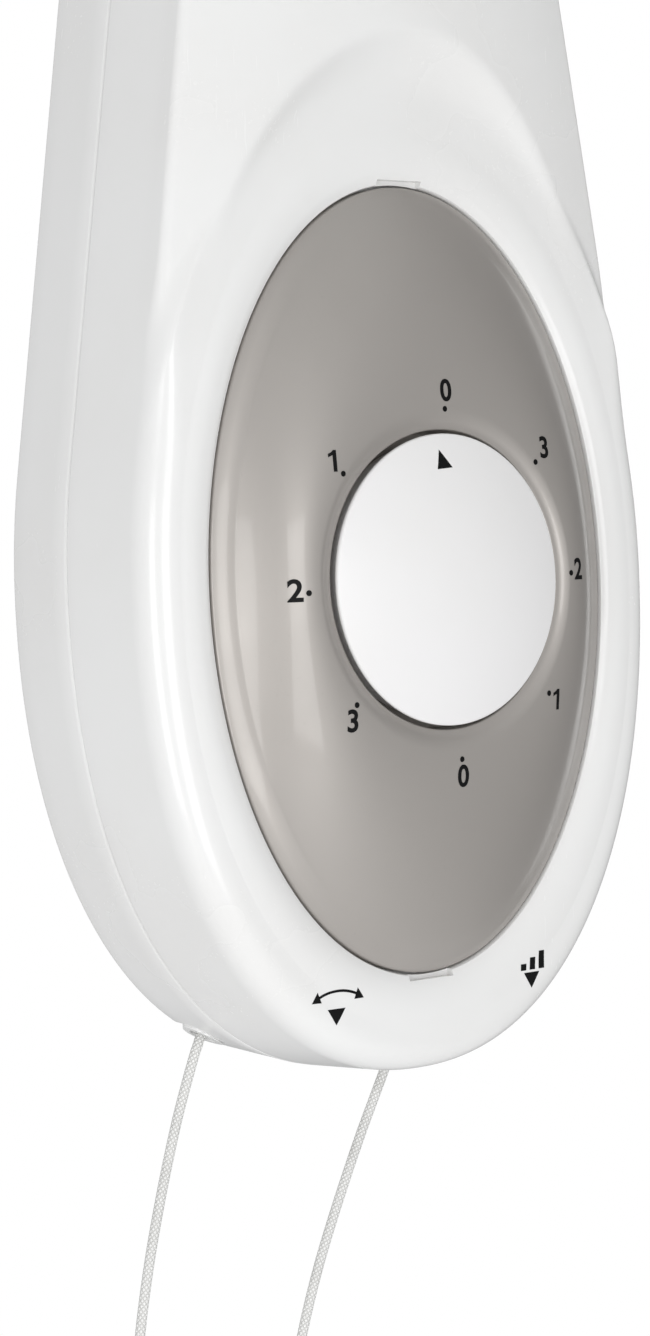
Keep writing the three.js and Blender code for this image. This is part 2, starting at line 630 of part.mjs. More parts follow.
function speedKnob() {
  const rim = KNOB_RIM + KNOB_EDGE + 0.6;
  const edge = corner(
    [KNOB_RADIUS, KNOB_RIM],
    [KNOB_RADIUS, KNOB_RIM + KNOB_EDGE],
    [KNOB_RADIUS - 3, rim],
    2,
  );
  const crown = [(KNOB_RADIUS - 3) / 2, rim + (KNOB_CROWN - rim) * 0.75];
  const foot = DISH_FLOOR + 0.8;
  return turned([
    [SPINDLE_RADIUS + SEAT_GAP, foot],
    [KNOB_RADIUS - 0.4, foot],
    ...edge,
    crown,
    [0, KNOB_CROWN],
    [0, KNOB_RIM],
    [SPINDLE_RADIUS + SEAT_GAP, KNOB_RIM],
    [SPINDLE_RADIUS + SEAT_GAP, foot],
  ], 32).translate(0, 0, DIAL_Z);
}

const SWITCH_FRONT = RECESS_FLOOR - SHELL_WALL - SEAT_GAP;
const PANEL_FRONT = REAR_PANEL + SHELL_WALL + SEAT_GAP;

function switchSpindle() {
  const reach = [SWITCH_FRONT - SWITCH_DEPTH / 2, KNOB_RIM - SEAT_GAP];
  const bar = barForward(SPINDLE_RADIUS, 0, reach, DIAL_Z, 16);
  const flat = block([-SPINDLE_RADIUS - 1, SPINDLE_RADIUS + 1], [KNOB_RIM - 8, KNOB_RIM + 1], [1.6, 4]);
  return cut(bar, flat.translate(0, 0, DIAL_Z));
}

// A flat pin at the back of a switch.
const terminal = (x, back, z) => block(
  [x - TERMINAL_WIDTH / 2, x + TERMINAL_WIDTH / 2],
  [back - 6, back + 1],
  [z, z + TERMINAL_THICK],
);

function speedSwitch() {
  const half = SWITCH_SIDE / 2;
  const back = SWITCH_FRONT - SWITCH_DEPTH;
  const body = block([-half, half], [back, SWITCH_FRONT], [DIAL_Z - half, DIAL_Z + half]);
  const tabs = block([-half - 5, half + 5], [SWITCH_FRONT - 2, SWITCH_FRONT], [DIAL_Z - 5, DIAL_Z + 5]);
  const pins = [-2, -1, 0, 1, 2].map((k) => terminal((k * SWITCH_SIDE) / 6, back, DIAL_Z - half + 8));
  const socket = [SWITCH_FRONT - SWITCH_DEPTH / 2 - SEAT_GAP, SWITCH_FRONT + 1];
  return cut(join(body, tabs, ...pins), barForward(SPINDLE_RADIUS + SEAT_GAP, 0, socket, DIAL_Z, 16));
}

function swingSwitch() {
  const [x, z] = [CORD_X.swing, SWING_SWITCH_Z];
  const [half, rise] = [SWING_SWITCH_WIDTH / 2, SWING_SWITCH_HEIGHT / 2];
  const back = SWITCH_FRONT - SWING_SWITCH_DEPTH;
  const pins = [-1, 1].map((side) => terminal(x + side * 0.4 * half, back, z + rise / 3));
  return join(block([x - half, x + half], [back, SWITCH_FRONT], [z - rise, z + rise]), ...pins);
}

function terminalBlock() {
  const places = [-1.5, -0.5, 0.5, 1.5].map((k) => k * BLOCK_PITCH);
  const middle = (BLOCK_LOW + BLOCK_HIGH) / 2;
  const wells = places.map((x) => (
    barForward(2.2, x, [PANEL_FRONT + 5, PANEL_FRONT + BLOCK_DEPTH + 1], middle, 6)));
  const entries = places.map((x) => (
    block([x - 1.8, x + 1.8], [PANEL_FRONT + 2, PANEL_FRONT + 4.4], [BLOCK_LOW - 2, middle + 6])));
  const half = BLOCK_WIDTH / 2;
  const body = block([-half, half], [PANEL_FRONT, PANEL_FRONT + BLOCK_DEPTH], [BLOCK_LOW, BLOCK_HIGH]);
  return cut(body, ...wells, ...entries);
}

function capacitor() {
  const half = CAPACITOR_WIDTH / 2;
  const reach = [CAPACITOR_LOW - 4, CAPACITOR_LOW + 1];
  const lead = (x) => barUp(0.8, x, PANEL_FRONT + CAPACITOR_DEPTH / 2, reach, 8);
  return join(
    block([-half, half], [PANEL_FRONT, PANEL_FRONT + CAPACITOR_DEPTH], [CAPACITOR_LOW, CAPACITOR_HIGH]),
    lead(-half / 2),
    lead(half / 2),
  );
}

function cableGrommet() {
  const [back, front] = [REAR_PANEL - SEAT_GAP, REAR_PANEL + SHELL_WALL + SEAT_GAP];
  return turned([
    [GROMMET_BORE, back - 1.5],
    [GROMMET_RIM, back - 1.5],
    [GROMMET_RIM, back],
    [GROMMET_RADIUS, back],
    [GROMMET_RADIUS, front],
    [GROMMET_RIM, front],
    [GROMMET_RIM, front + 1.6],
    [GROMMET_BORE, front + 1.6],
    [GROMMET_BORE, back - 1.5],
  ], 12).translate(0, 0, GROMMET_Z);
}

// ---------------------------------------------------------------- pull cords
// A moulded guide in the housing's rear edge, its mouth flush with the housing.
function cordGuide(x) {
  const tube = barUp(GUIDE_RADIUS, x, CORD_FORWARD, [BELOW_POD, GUIDE_TOP], 12);
  const flange = barUp(GUIDE_FLANGE_RADIUS, x, CORD_FORWARD, [GUIDE_TOP - GUIDE_FLANGE, GUIDE_TOP], 12);
  const within = loft([outline(0.9, REAR_RIM), outline(0, PARTING)]);
  const bore = barUp(PLUNGER_RADIUS + SEAT_GAP, x, CORD_FORWARD, [BELOW_POD - 1, GUIDE_TOP + 1], 12);
  return cut(common(join(tube, flange), within), bore);
}

// The sliding rod that the cord is tied to. Its head stops it on the guide.
function plunger(x) {
  const head = GUIDE_TOP + SEAT_GAP + PULL_TRAVEL;
  return turnedUp([
    [0, PLUNGER_FOOT],
    [PLUNGER_RADIUS, PLUNGER_FOOT],
    [PLUNGER_RADIUS, head],
    [PLUNGER_HEAD_RADIUS, head],
    [PLUNGER_HEAD_RADIUS, head + PLUNGER_HEAD],
    [0, head + PLUNGER_HEAD],
  ], 12).translate(x, -CORD_FORWARD, 0);
}

// The cords sway to one side as they leave, then hang straight. Their places are [x, forward, z].
const CORD_ROUTES = {
  swing: [
    [CORD_X.swing, CORD_FORWARD, PLUNGER_FOOT - SEAT_GAP], [-25.2, 5, -146], [-27.4, 5, -151],
    [-30, 5.1, -157], [-32.4, 5.2, -163], [-35.6, 5.4, -172], [-38.5, 5.6, -181], [-41.1, 5.8, -190],
    [-43.5, 6, -200], [-45.6, 6.3, -211], [-47.2, 6.6, -223], [-48.3, 6.9, -236], [-49, 7.2, -250],
    [-49.3, 7.5, -264], [-49.4, 7.8, -278], [-49.4, 8, -290], [-49.4, 8, -300],
  ],
  speed: [
    [CORD_X.speed, CORD_FORWARD, PLUNGER_FOOT - SEAT_GAP], [25, 5, -147], [24.3, 5, -152],
    [22.1, 5.1, -157.5], [18.4, 5.2, -164], [14.2, 5.4, -171], [10, 5.6, -178.5], [6, 5.8, -186],
    [1.1, 6, -196], [-3.5, 6.3, -207], [-7.5, 6.6, -219], [-10.6, 6.9, -232], [-12.7, 7.2, -246],
    [-13.8, 7.5, -260], [-14.2, 7.8, -274], [-14.3, 8, -286], [-14.3, 8, -296],
  ],
};

function cord(route) {
  const path = new THREE.CatmullRomCurve3(route.map((p) => at(...p)), false, 'centripetal');
  const steps = Math.round(path.getLength() / (5.8 * CORD_RADIUS));
  const section = new THREE.Shape(Array.from({ length: 8 }, (_, k) => (
    new THREE.Vector2(CORD_RADIUS, 0).rotateAround(new THREE.Vector2(), (k * Math.PI) / 4))));
  return new THREE.ExtrudeGeometry(section, { steps, bevelEnabled: false, extrudePath: path });
}

function bell(route) {
  const [x, forward, z] = route[route.length - 1];
  const top = z - SEAT_GAP;
  return turnedUp([
    [0, top],
    [2.6, top],
    [3.4, top - 7],
    [5.2, top - 16],
    [BELL_RADIUS, top - BELL_HEIGHT + 1.5],
    [BELL_RADIUS - 1.5, top - BELL_HEIGHT],
    [0, top - BELL_HEIGHT],
  ], 14).translate(x, -forward, 0);
}

// ---------------------------------------------------------------- tilt and swing
function earShape(low) {
  const shape = new THREE.Shape();
  shape.moveTo(PIVOT_FORWARD - EAR_RADIUS, low);
  shape.lineTo(PIVOT_FORWARD + EAR_RADIUS, low);
  shape.absarc(PIVOT_FORWARD, PIVOT_Z, EAR_RADIUS, 0, Math.PI);
  return shape;
}

function pivotBracket() {
  const seat = NECK_TOP + SEAT_GAP;
  const flange = loft([neckSection(NECK_TOP, 0.4, seat), neckSection(NECK_TOP, 0.4, seat + FLANGE_THICK)]);
  const foot = NECK_TOP - STEM_DROP;
  const stemRear = neckRear(NECK_TOP) + SHELL_WALL + 0.8;
  const stemFront = neckFront(foot) - neckCrown(foot) - SHELL_WALL - 0.8;
  const stemHalf = halfWidthAt(NECK_TOP) - STEM_INSET;
  const stem = block([-stemHalf, stemHalf], [stemRear, stemFront], [foot, seat + 1]);
  const ear = (side) => {
    const [near, far] = [side * EAR_SPACE, side * (EAR_SPACE + EAR_THICK)];
    return sidePlate(earShape(seat + 1), [Math.min(near, far), Math.max(near, far)]);
  };
  const bore = barAcross(BOLT_RADIUS + SEAT_GAP, [-30, 30], PIVOT_FORWARD, PIVOT_Z);
  return cut(join(flange, stem, ear(-1), ear(1)), bore);
}

const EAR_OUTER = EAR_SPACE + EAR_THICK;

function tiltBolt() {
  const head = new THREE.CylinderGeometry(7, 7, 5, 6).rotateZ(Math.PI / 2);
  return join(
    barAcross(BOLT_RADIUS, [-EAR_OUTER - SEAT_GAP - 1, BOLT_END], PIVOT_FORWARD, PIVOT_Z),
    head.translate(-EAR_OUTER - SEAT_GAP - 2.5, -PIVOT_FORWARD, PIVOT_Z),
  );
}

// The hand knob that clamps the tilt, with grip flutes round its rim.
function tiltKnob() {
  const start = EAR_OUTER + SEAT_GAP;
  const end = start + LOCK_KNOB_DEPTH;
  const body = join(
    barAcross(9, [start, start + 9], PIVOT_FORWARD, PIVOT_Z),
    barAcross(LOCK_KNOB_RADIUS, [start + 8, end], PIVOT_FORWARD, PIVOT_Z, 24),
  );
  const flutes = Array.from({ length: 6 }, (_, k) => {
    const angle = (k * Math.PI) / 3;
    const reach = LOCK_KNOB_RADIUS + 2.5;
    const [forward, z] = [PIVOT_FORWARD + reach * Math.cos(angle), PIVOT_Z + reach * Math.sin(angle)];
    return barAcross(5, [start + 7, end + 1], forward, z, 10);
  });
  const bore = barAcross(BOLT_RADIUS + SEAT_GAP, [start - 1, BOLT_END + SEAT_GAP], PIVOT_FORWARD, PIVOT_Z);
  return cut(body, ...flutes, bore);
}

function tiltYoke() {
  const shape = new THREE.Shape();
  shape.absarc(PIVOT_FORWARD, PIVOT_Z, EAR_RADIUS, Math.PI, 1.8 * Math.PI);
  shape.quadraticCurveTo(SWING_FORWARD + 6, DRUM_LOW - 14, SWING_FORWARD + 18, DRUM_LOW + 1);
  shape.lineTo(SWING_FORWARD - 22, DRUM_LOW + 1);
  shape.quadraticCurveTo(PIVOT_FORWARD - EAR_RADIUS - 1, DRUM_LOW - 8, PIVOT_FORWARD - EAR_RADIUS, PIVOT_Z);
  const lug = sidePlate(shape, [-EAR_SPACE + SEAT_GAP, EAR_SPACE - SEAT_GAP]);
  const drum = barUp(DRUM_RADIUS, 0, SWING_FORWARD, [DRUM_LOW, DRUM_HIGH], 24);
  return cut(
    join(lug, drum),
    barUp(DRUM_RADIUS - DRUM_WALL, 0, SWING_FORWARD, [DRUM_LOW + DRUM_WALL, DRUM_HIGH + 1], 24),
    barAcross(BOLT_RADIUS + SEAT_GAP, [-30, 30], PIVOT_FORWARD, PIVOT_Z),
  );
}

const SWING_MOTOR_TOP = DRUM_LOW + DRUM_WALL + SEAT_GAP + 14;

function swingMotor() {
  const low = DRUM_LOW + DRUM_WALL + SEAT_GAP;
  const radius = DRUM_RADIUS - DRUM_WALL - SEAT_GAP;
  return join(
    barUp(radius, 0, SWING_FORWARD, [low, SWING_MOTOR_TOP], 24),
    barUp(SPINDLE_RADIUS, 0, SWING_FORWARD, [SWING_MOTOR_TOP - 1, DRUM_HIGH - 3], 16),
  );
}

// The turntable that carries the head on the drum, with a saddle for the motor's cover.
function headBracket() {
  const low = DRUM_HIGH + SEAT_GAP;
  const deck = join(
    barUp(DRUM_RADIUS, 0, SWING_FORWARD, [low, low + 4], 24),
    block([-26, 26], [SWING_FORWARD - 20, SWING_FORWARD + 20], [low + 2, low + 20]),
    barUp(SPINDLE_TUBE_RADIUS, 0, SWING_FORWARD, [SWING_MOTOR_TOP + SEAT_GAP, low + 1], 20),
  );
  const motorSpace = barForward(MOTOR_RADIUS + SEAT_GAP, 0, [-DRUM_RADIUS, DRUM_RADIUS], 0, MOTOR_SIDES);
  return cut(
    deck,
    motorSpace.translate(0, -SWING_FORWARD, FAN_AXIS_Z),
    barUp(
      SPINDLE_RADIUS + SEAT_GAP,
      0,
      SWING_FORWARD,
      [SWING_MOTOR_TOP - 1, DRUM_HIGH - 3 + SEAT_GAP],
      16,
    ),
  );
}

// ---------------------------------------------------------------- motor
function motorRearCover() {
  const back = MOTOR_BACK + 0.5;
  const dome = [
    [MOTOR_RADIUS, MOTOR_BACK + 37],
    [MOTOR_RADIUS - 3, MOTOR_BACK + 20],
    [MOTOR_RADIUS - 13, MOTOR_BACK + 8],
    [MOTOR_RADIUS - 35, back],
  ];
  const thinning = [[1, 0], [0.95, 0.5], [0.7, 0.8], [0.3, 1]];
  const inner = dome.map(([radius, forward], k) => (
    [radius - MOTOR_WALL * thinning[k][0], forward + MOTOR_WALL * thinning[k][1]]));
  const cup = turned([
    [MOTOR_RADIUS, MOTOR_FRONT],
    ...dome,
    [0, MOTOR_BACK],
    [0, MOTOR_BACK + MOTOR_WALL],
    ...inner.reverse(),
    [MOTOR_RADIUS - MOTOR_WALL, MOTOR_FRONT],
    [MOTOR_RADIUS, MOTOR_FRONT],
  ], MOTOR_SIDES);
  const vent = (k) => block([-1.6, 1.6], [MOTOR_BACK - 9, MOTOR_BACK + 21], [20, 40])
    .rotateY((2 * Math.PI * k) / VENT_COUNT);
  return cut(cup, ...Array.from({ length: VENT_COUNT }, (_, k) => vent(k)));
}

const COVER_INSIDE = GUARD_SEAT - 3.2;
const COVER_BORE = BEARING_RADIUS + SEAT_GAP;
const SHIELD_RIM = MOTOR_RADIUS - MOTOR_WALL - SEAT_GAP;
const SKIRT_INSIDE = STATOR_RADIUS + SEAT_GAP;
const SKIRT_OUTSIDE = SKIRT_INSIDE + SHIELD_WALL;
const SHAFT_BORE = SHAFT_RADIUS + SEAT_GAP;

function motorFrontCover() {
  const back = MOTOR_FRONT + SEAT_GAP;
  return turned([
    [COVER_BORE, COVER_INSIDE],
    [SKIRT_OUTSIDE, COVER_INSIDE],
    [MOTOR_RADIUS - MOTOR_WALL, back],
    [MOTOR_RADIUS, back],
    [MOTOR_RADIUS, GUARD_SEAT - 4.2],
    [MOTOR_RADIUS - 5, GUARD_SEAT],
    [GUARD_BOSS_RADIUS, GUARD_SEAT],
    [GUARD_BOSS_RADIUS, GUARD_BOSS_FRONT],
    [COVER_BORE, GUARD_BOSS_FRONT],
    [COVER_BORE, COVER_INSIDE],
  ], MOTOR_SIDES);
}

// A cup round half of the stator, with a flange at the joint and a bearing in its end.
function shield(joint, end, bearingFrom, bearingTo) {
  const way = Math.sign(end - joint);
  return turned([
    [SHAFT_BORE, bearingFrom],
    [BEARING_RADIUS, bearingFrom],
    [BEARING_RADIUS, end],
    [SKIRT_OUTSIDE, end],
    [SKIRT_OUTSIDE, joint + way * SHIELD_WALL],
    [SHIELD_RIM, joint + way * SHIELD_WALL],
    [SHIELD_RIM, joint],
    [SKIRT_INSIDE, joint],
    [SKIRT_INSIDE, end - way * SHIELD_WALL],
    [BEARING_RADIUS, end - way * SHIELD_WALL],
    [BEARING_RADIUS, bearingTo],
    [SHAFT_BORE, bearingTo],
    [SHAFT_BORE, bearingFrom],
  ], MOTOR_SIDES);
}

function rearShield() {
  const bearing = SHIELD_BACK - 6;
  return shield(SHIELD_JOINT, SHIELD_BACK, bearing, bearing + BEARING_DEPTH);
}

function frontShield() {
  const end = COVER_INSIDE - SEAT_GAP;
  const bearing = end - SHIELD_WALL - 0.5;
  return shield(SHIELD_JOINT + SEAT_GAP, end, bearing + BEARING_DEPTH, bearing);
}

function stator() {
  const winding = (edge, way) => [
    [STATOR_BORE + 3.7, edge],
    [STATOR_BORE + 5.7, edge + way * WINDING],
    [STATOR_RADIUS - 6, edge + way * WINDING],
    [STATOR_RADIUS - 4, edge],
  ];
  return turned([
    [STATOR_BORE, CORE_BACK],
    ...winding(CORE_BACK, -1),
    [STATOR_RADIUS, CORE_BACK],
    [STATOR_RADIUS, CORE_FRONT],
    ...winding(CORE_FRONT, 1).reverse(),
    [STATOR_BORE, CORE_FRONT],
    [STATOR_BORE, CORE_BACK],
  ], MOTOR_SIDES);
}

function rotorCore() {
  const radius = STATOR_BORE - AIR_GAP;
  return turned([
    [SHAFT_BORE, CORE_BACK],
    [radius - 8, CORE_BACK - 4],
    [radius - 2, CORE_BACK - 4],
    [radius, CORE_BACK],
    [radius, CORE_FRONT],
    [radius - 2, CORE_FRONT + 4],
    [radius - 8, CORE_FRONT + 4],
    [SHAFT_BORE, CORE_FRONT],
    [SHAFT_BORE, CORE_BACK],
  ], 20);
}

const SHAFT_FRONT = HUB_FRONT + 12;

function motorShaft() {
  const back = SHIELD_BACK - 10;
  return turned([
    [0, back],
    [SHAFT_RADIUS - SHAFT_TIP, back],
    [SHAFT_RADIUS, back + SHAFT_TIP],
    [SHAFT_RADIUS, SHAFT_FRONT - SHAFT_TIP],
    [SHAFT_RADIUS - SHAFT_TIP, SHAFT_FRONT],
    [0, SHAFT_FRONT],
  ], 12);
}

// ---------------------------------------------------------------- guard
// A dished grille: straight wires across rings. Each ring has its radius, forward distance and half
// width, and the grille's thickness stands square to its dish. The first ring lies flat and the last
// one is a hoop.
function grille(rings, wires) {
  const slopes = rings.map((ring, k) => {
    const [before, after] = [rings[Math.max(k - 1, 0)], rings[Math.min(k + 1, rings.length - 1)]];
    const slope = new THREE.Vector2(after[0] - before[0], after[1] - before[1]).normalize();
    if (k === 0) slope.set(1, 0);
    if (k === rings.length - 1) slope.set(0, Math.sign(slope.y));
    return slope;
  });
  const corners = [];
  const index = [];
  // A corner at ring k of wire j: inner or outer edge, one or the other side, front or back.
  const cornerAt = (k, j, outer, side, front) => (
    (((k * wires + ((j + wires) % wires)) * 2 + outer) * 2 + side) * 2 + front);
  rings.forEach(([radius, forward, half], k) => {
    const along = slopes[k];
    for (let j = 0; j < wires; j += 1) {
      const angle = (2 * Math.PI * j) / wires;
      for (let code = 0; code < 8; code += 1) {
        const [outer, side, front] = [(code >> 2) % 2, (code >> 1) % 2, code % 2].map((bit) => 2 * bit - 1);
        const r = radius + outer * half * along.x - front * GUARD_WIRE * along.y;
        const f = forward + outer * half * along.y + front * GUARD_WIRE * along.x;
        const place = new THREE.Vector3(r, -f, side * GUARD_WIRE);
        corners.push(place.applyAxisAngle(new THREE.Vector3(0, 1, 0), angle));
      }
    }
  });
  const face = (a, b, c, d) => index.push(a, b, c, a, c, d);
  for (let k = 0; k < rings.length; k += 1) {
    for (let j = 0; j < wires; j += 1) {
      const here = (outer, side, front) => cornerAt(k, j, outer, side, front);
      const beside = (outer, side, front) => cornerAt(k, j - 1, outer, side, front);
      for (const front of [0, 1]) {
        const wound = (...q) => face(...(front ? q : q.reverse()));
        wound(here(0, 0, front), here(0, 1, front), here(1, 1, front), here(1, 0, front));
        wound(here(0, 1, front), beside(0, 0, front), beside(1, 0, front), here(1, 1, front));
      }
      face(here(0, 1, 0), beside(0, 0, 0), beside(0, 0, 1), here(0, 1, 1));
      face(here(1, 1, 1), beside(1, 0, 1), beside(1, 0, 0), here(1, 1, 0));
      if (k === 0) face(here(0, 0, 0), here(0, 1, 0), here(0, 1, 1), here(0, 0, 1));
      if (k === rings.length - 1) face(here(1, 0, 1), here(1, 1, 1), here(1, 1, 0), here(1, 0, 0));
      if (k < rings.length - 1) {
        const next = (outer, side, front) => cornerAt(k + 1, j, outer, side, front);
        face(here(1, 0, 1), here(1, 1, 1), next(0, 1, 1), next(0, 0, 1));
        face(next(0, 0, 0), next(0, 1, 0), here(1, 1, 0), here(1, 0, 0));
        face(here(1, 0, 0), here(1, 0, 1), next(0, 0, 1), next(0, 0, 0));
        face(next(0, 1, 0), next(0, 1, 1), here(1, 1, 1), here(1, 1, 0));
      }
    }
  }
  const geometry = new THREE.BufferGeometry();
  geometry.setFromPoints(corners);
  geometry.setIndex(index);
  return geometry;
}

const RIM_HALF = GUARD_RING_WIRE + SEAT_GAP / 2;
const BAND_INNER = GUARD_RADIUS + GUARD_WIRE + 0.7;
const BAND_OUTER = BAND_INNER + BAND_WALL;
const BAND_SCREW_Z = -BAND_OUTER - BAND_EAR / 2;

function rearGuard() {
  const [inner, outer] = [GUARD_BOSS_RADIUS + SEAT_GAP, MOTOR_RADIUS - 8];
  return grille([
    [(inner + outer) / 2, GUARD_SEAT + SEAT_GAP + GUARD_WIRE, (outer - inner) / 2],
    [GUARD_RADIUS - REAR_SHOULDER, REAR_SHOULDER_FORWARD, GUARD_RING_WIRE],
    [GUARD_RADIUS, GUARD_MIDDLE - RIM_HALF, GUARD_RING_WIRE],
  ], GUARD_WIRES);
}

function frontGuard() {
  return grille([
    [FACE_RADIUS, FACE_FORWARD, GUARD_RING_WIRE],
    [GUARD_RADIUS - FRONT_SHOULDER, FRONT_SHOULDER_FORWARD, GUARD_RING_WIRE],
    [GUARD_RADIUS, GUARD_MIDDLE + RIM_HALF, GUARD_RING_WIRE],
  ], GUARD_WIRES);
}

function guardNut() {
  const inner = GUARD_BOSS_RADIUS + SEAT_GAP;
  const back = GUARD_SEAT + 2 * (SEAT_GAP + GUARD_WIRE);
  const front = back + GUARD_NUT_DEPTH;
  const nut = turned([
    [inner, back],
    [GUARD_NUT_RADIUS, back],
    [GUARD_NUT_RADIUS, front - 4],
    [GUARD_NUT_RADIUS - 3, front - 1],
    [inner, front],
    [inner, back],
  ], 24);
  const grips = Array.from({ length: 6 }, (_, k) => (
    block([-5, 5], [back + 2.4, front + 2], [GUARD_NUT_RADIUS - 3.5, GUARD_NUT_RADIUS + 4])
      .rotateY((k * Math.PI) / 3)));
  return cut(nut, ...grips);
}

// A cap over the front guard's inner ring, with a plug behind it.
function guardBadge() {
  const seat = FACE_FORWARD + GUARD_WIRE + SEAT_GAP;
  const [rim, plug] = [FACE_RADIUS - 1, FACE_RADIUS - 6];
  return turned([
    [0, FACE_FORWARD - 3],
    [plug, FACE_FORWARD - 3],
    [plug, seat],
    [rim, seat],
    [rim, seat + 1.4],
    [plug, seat + 3],
    [0, seat + BADGE_DEPTH],
  ], GUARD_WIRES);
}

// The band that clamps both guard rims, open at the bottom where its screw draws it together.
function guardBand() {
  const [lip, inner, outer] = [GUARD_RADIUS - 0.8, BAND_INNER, BAND_OUTER];
  const [low, high] = [GUARD_MIDDLE - BAND_HALF, GUARD_MIDDLE + BAND_HALF];
  const ring = turned([
    [lip, low],
    [outer - 0.8, low],
    [outer, low + 1.6],
    [outer, high - 1.6],
    [outer - 0.8, high],
    [lip, high],
    [lip, high - 1.8],
    [inner, high - 1.8],
    [inner, low + 1.8],
    [lip, low + 1.8],
    [lip, low],
  ], GUARD_WIRES).rotateY(Math.PI / 2);
  const ear = (side) => {
    const [near, far] = [side * BAND_EAR_NEAR, side * BAND_EAR_FAR];
    return block([Math.min(near, far), Math.max(near, far)], [low, high], [-outer - BAND_EAR, 2 - outer]);
  };
  return cut(
    join(ring, ear(-1), ear(1)),
    block([-BAND_EAR_NEAR, BAND_EAR_NEAR], [low - 1, high + 1], [-outer - BAND_EAR - 3, 3 - lip]),
    barAcross(BAND_SCREW_RADIUS + SEAT_GAP, [-8, 8], GUARD_MIDDLE, BAND_SCREW_Z, 10),
  );
}

function bandScrew() {
  const seat = BAND_EAR_FAR + SEAT_GAP;
  const head = barAcross(3.4, [seat, seat + 2.7], GUARD_MIDDLE, BAND_SCREW_Z, 16);
  const shank = barAcross(BAND_SCREW_RADIUS, [-seat - 4.7, seat + 1], GUARD_MIDDLE, BAND_SCREW_Z, 12);
  const slot = [GUARD_MIDDLE - 0.5, GUARD_MIDDLE + 0.5];
  return cut(join(shank, head), block([seat + 1.3, seat + 4], slot, [BAND_SCREW_Z - 3, BAND_SCREW_Z + 3]));
}

function bandNut() {
  const nut = new THREE.CylinderGeometry(3.6, 3.6, 3, 6).rotateZ(Math.PI / 2);
  const through = [-BAND_EAR_FAR - 6, -BAND_EAR_FAR];
  return cut(
    nut.translate(-BAND_EAR_FAR - SEAT_GAP - 1.5, -GUARD_MIDDLE, BAND_SCREW_Z),
    barAcross(BAND_SCREW_RADIUS + SEAT_GAP, through, GUARD_MIDDLE, BAND_SCREW_Z, 12),
  );
}

// ---------------------------------------------------------------- blades
// A broad swept blade: half its angle, its lag and its depth along the axis all follow the radius.
function blade(angle) {
  const stations = [0, 0.22, 0.48, 0.72, 0.86, 0.95, 1];
  const across = [-1, -0.6, -0.2, 0.2, 0.6, 1];
  const point = (t, c, face) => {
    const radius = BLADE_HUB_RADIUS - 1.5 + (BLADE_TIP_RADIUS - BLADE_HUB_RADIUS + 1.5) * t;
    const tip = Math.sqrt(Math.max(1 - share(t, 0.7, 1) ** 2.6, 0.03));
    const spread = (0.7 - 0.1 * t) * tip;
    const turn = angle - 0.35 * t ** 1.5 + c * spread;
    const depth = (18 + 6 * Math.sin(Math.PI * t) - 4 * t) * tip;
    const camber = 6 * (1 - c * c) * t;
    const forward = BLADE_MIDDLE + c * depth + camber + face * BLADE_SHEET / 2;
    return new THREE.Vector3(radius * Math.sin(turn), -forward, radius * Math.cos(turn));
  };
  const rings = stations.map((t) => [
    ...across.map((c) => point(t, c, 1)),
    ...[...across].reverse().map((c) => point(t, c, -1)),
  ]);
  return loft(rings);
}

function fanBlade() {
  const inside = BLADE_HUB_RADIUS - HUB_WALL;
  const hub = turned([
    [SHAFT_BORE, HUB_BACK],
    [10, HUB_BACK],
    [10, HUB_FRONT - 6],
    [inside, HUB_FRONT - 8],
    [inside, HUB_BACK + 2],
    [BLADE_HUB_RADIUS, HUB_BACK + 2],
    [BLADE_HUB_RADIUS, HUB_FRONT - 7],
    [BLADE_HUB_RADIUS - 5, HUB_FRONT - 0.5],
    [SHAFT_BORE, HUB_FRONT],
    [SHAFT_BORE, HUB_BACK],
  ], 20);
  const blades = Array.from({ length: BLADE_COUNT }, (_, k) => blade((2 * Math.PI * k) / BLADE_COUNT));
  return join(hub, ...blades);
}

function spinnerNut() {
  const back = HUB_FRONT + SEAT_GAP;
  const front = back + SPINNER_DEPTH;
  const nut = turned([
    [SHAFT_BORE, back],
    [SPINNER_RADIUS, back],
    [SPINNER_RADIUS, back + 2.7],
    [SPINNER_RADIUS - 3, back + 4.7],
    [SPINNER_RADIUS - 4, front - 1.5],
    [0, front],
    [0, SHAFT_FRONT + SEAT_GAP],
    [SHAFT_BORE, SHAFT_FRONT + SEAT_GAP],
    [SHAFT_BORE, back],
  ], 16);
  const grip = (side) => {
    const [near, far] = [side * (SPINNER_RADIUS - 4), side * (SPINNER_RADIUS + 3)];
    return block([Math.min(near, far), Math.max(near, far)], [back, back + 7.7], [-2.5, 2.5]);
  };
  return join(nut, grip(-1), grip(1));
}

// ---------------------------------------------------------------- the assembly
const fan = new THREE.Group();
const head = new THREE.Group();
head.position.copy(at(0, SWING_FORWARD, FAN_AXIS_Z));
fan.add(head);

function place(group, name, shape, material) {
  const mesh = new THREE.Mesh(geometryOf(shape), material);
  mesh.name = name;
  group.add(mesh);
}

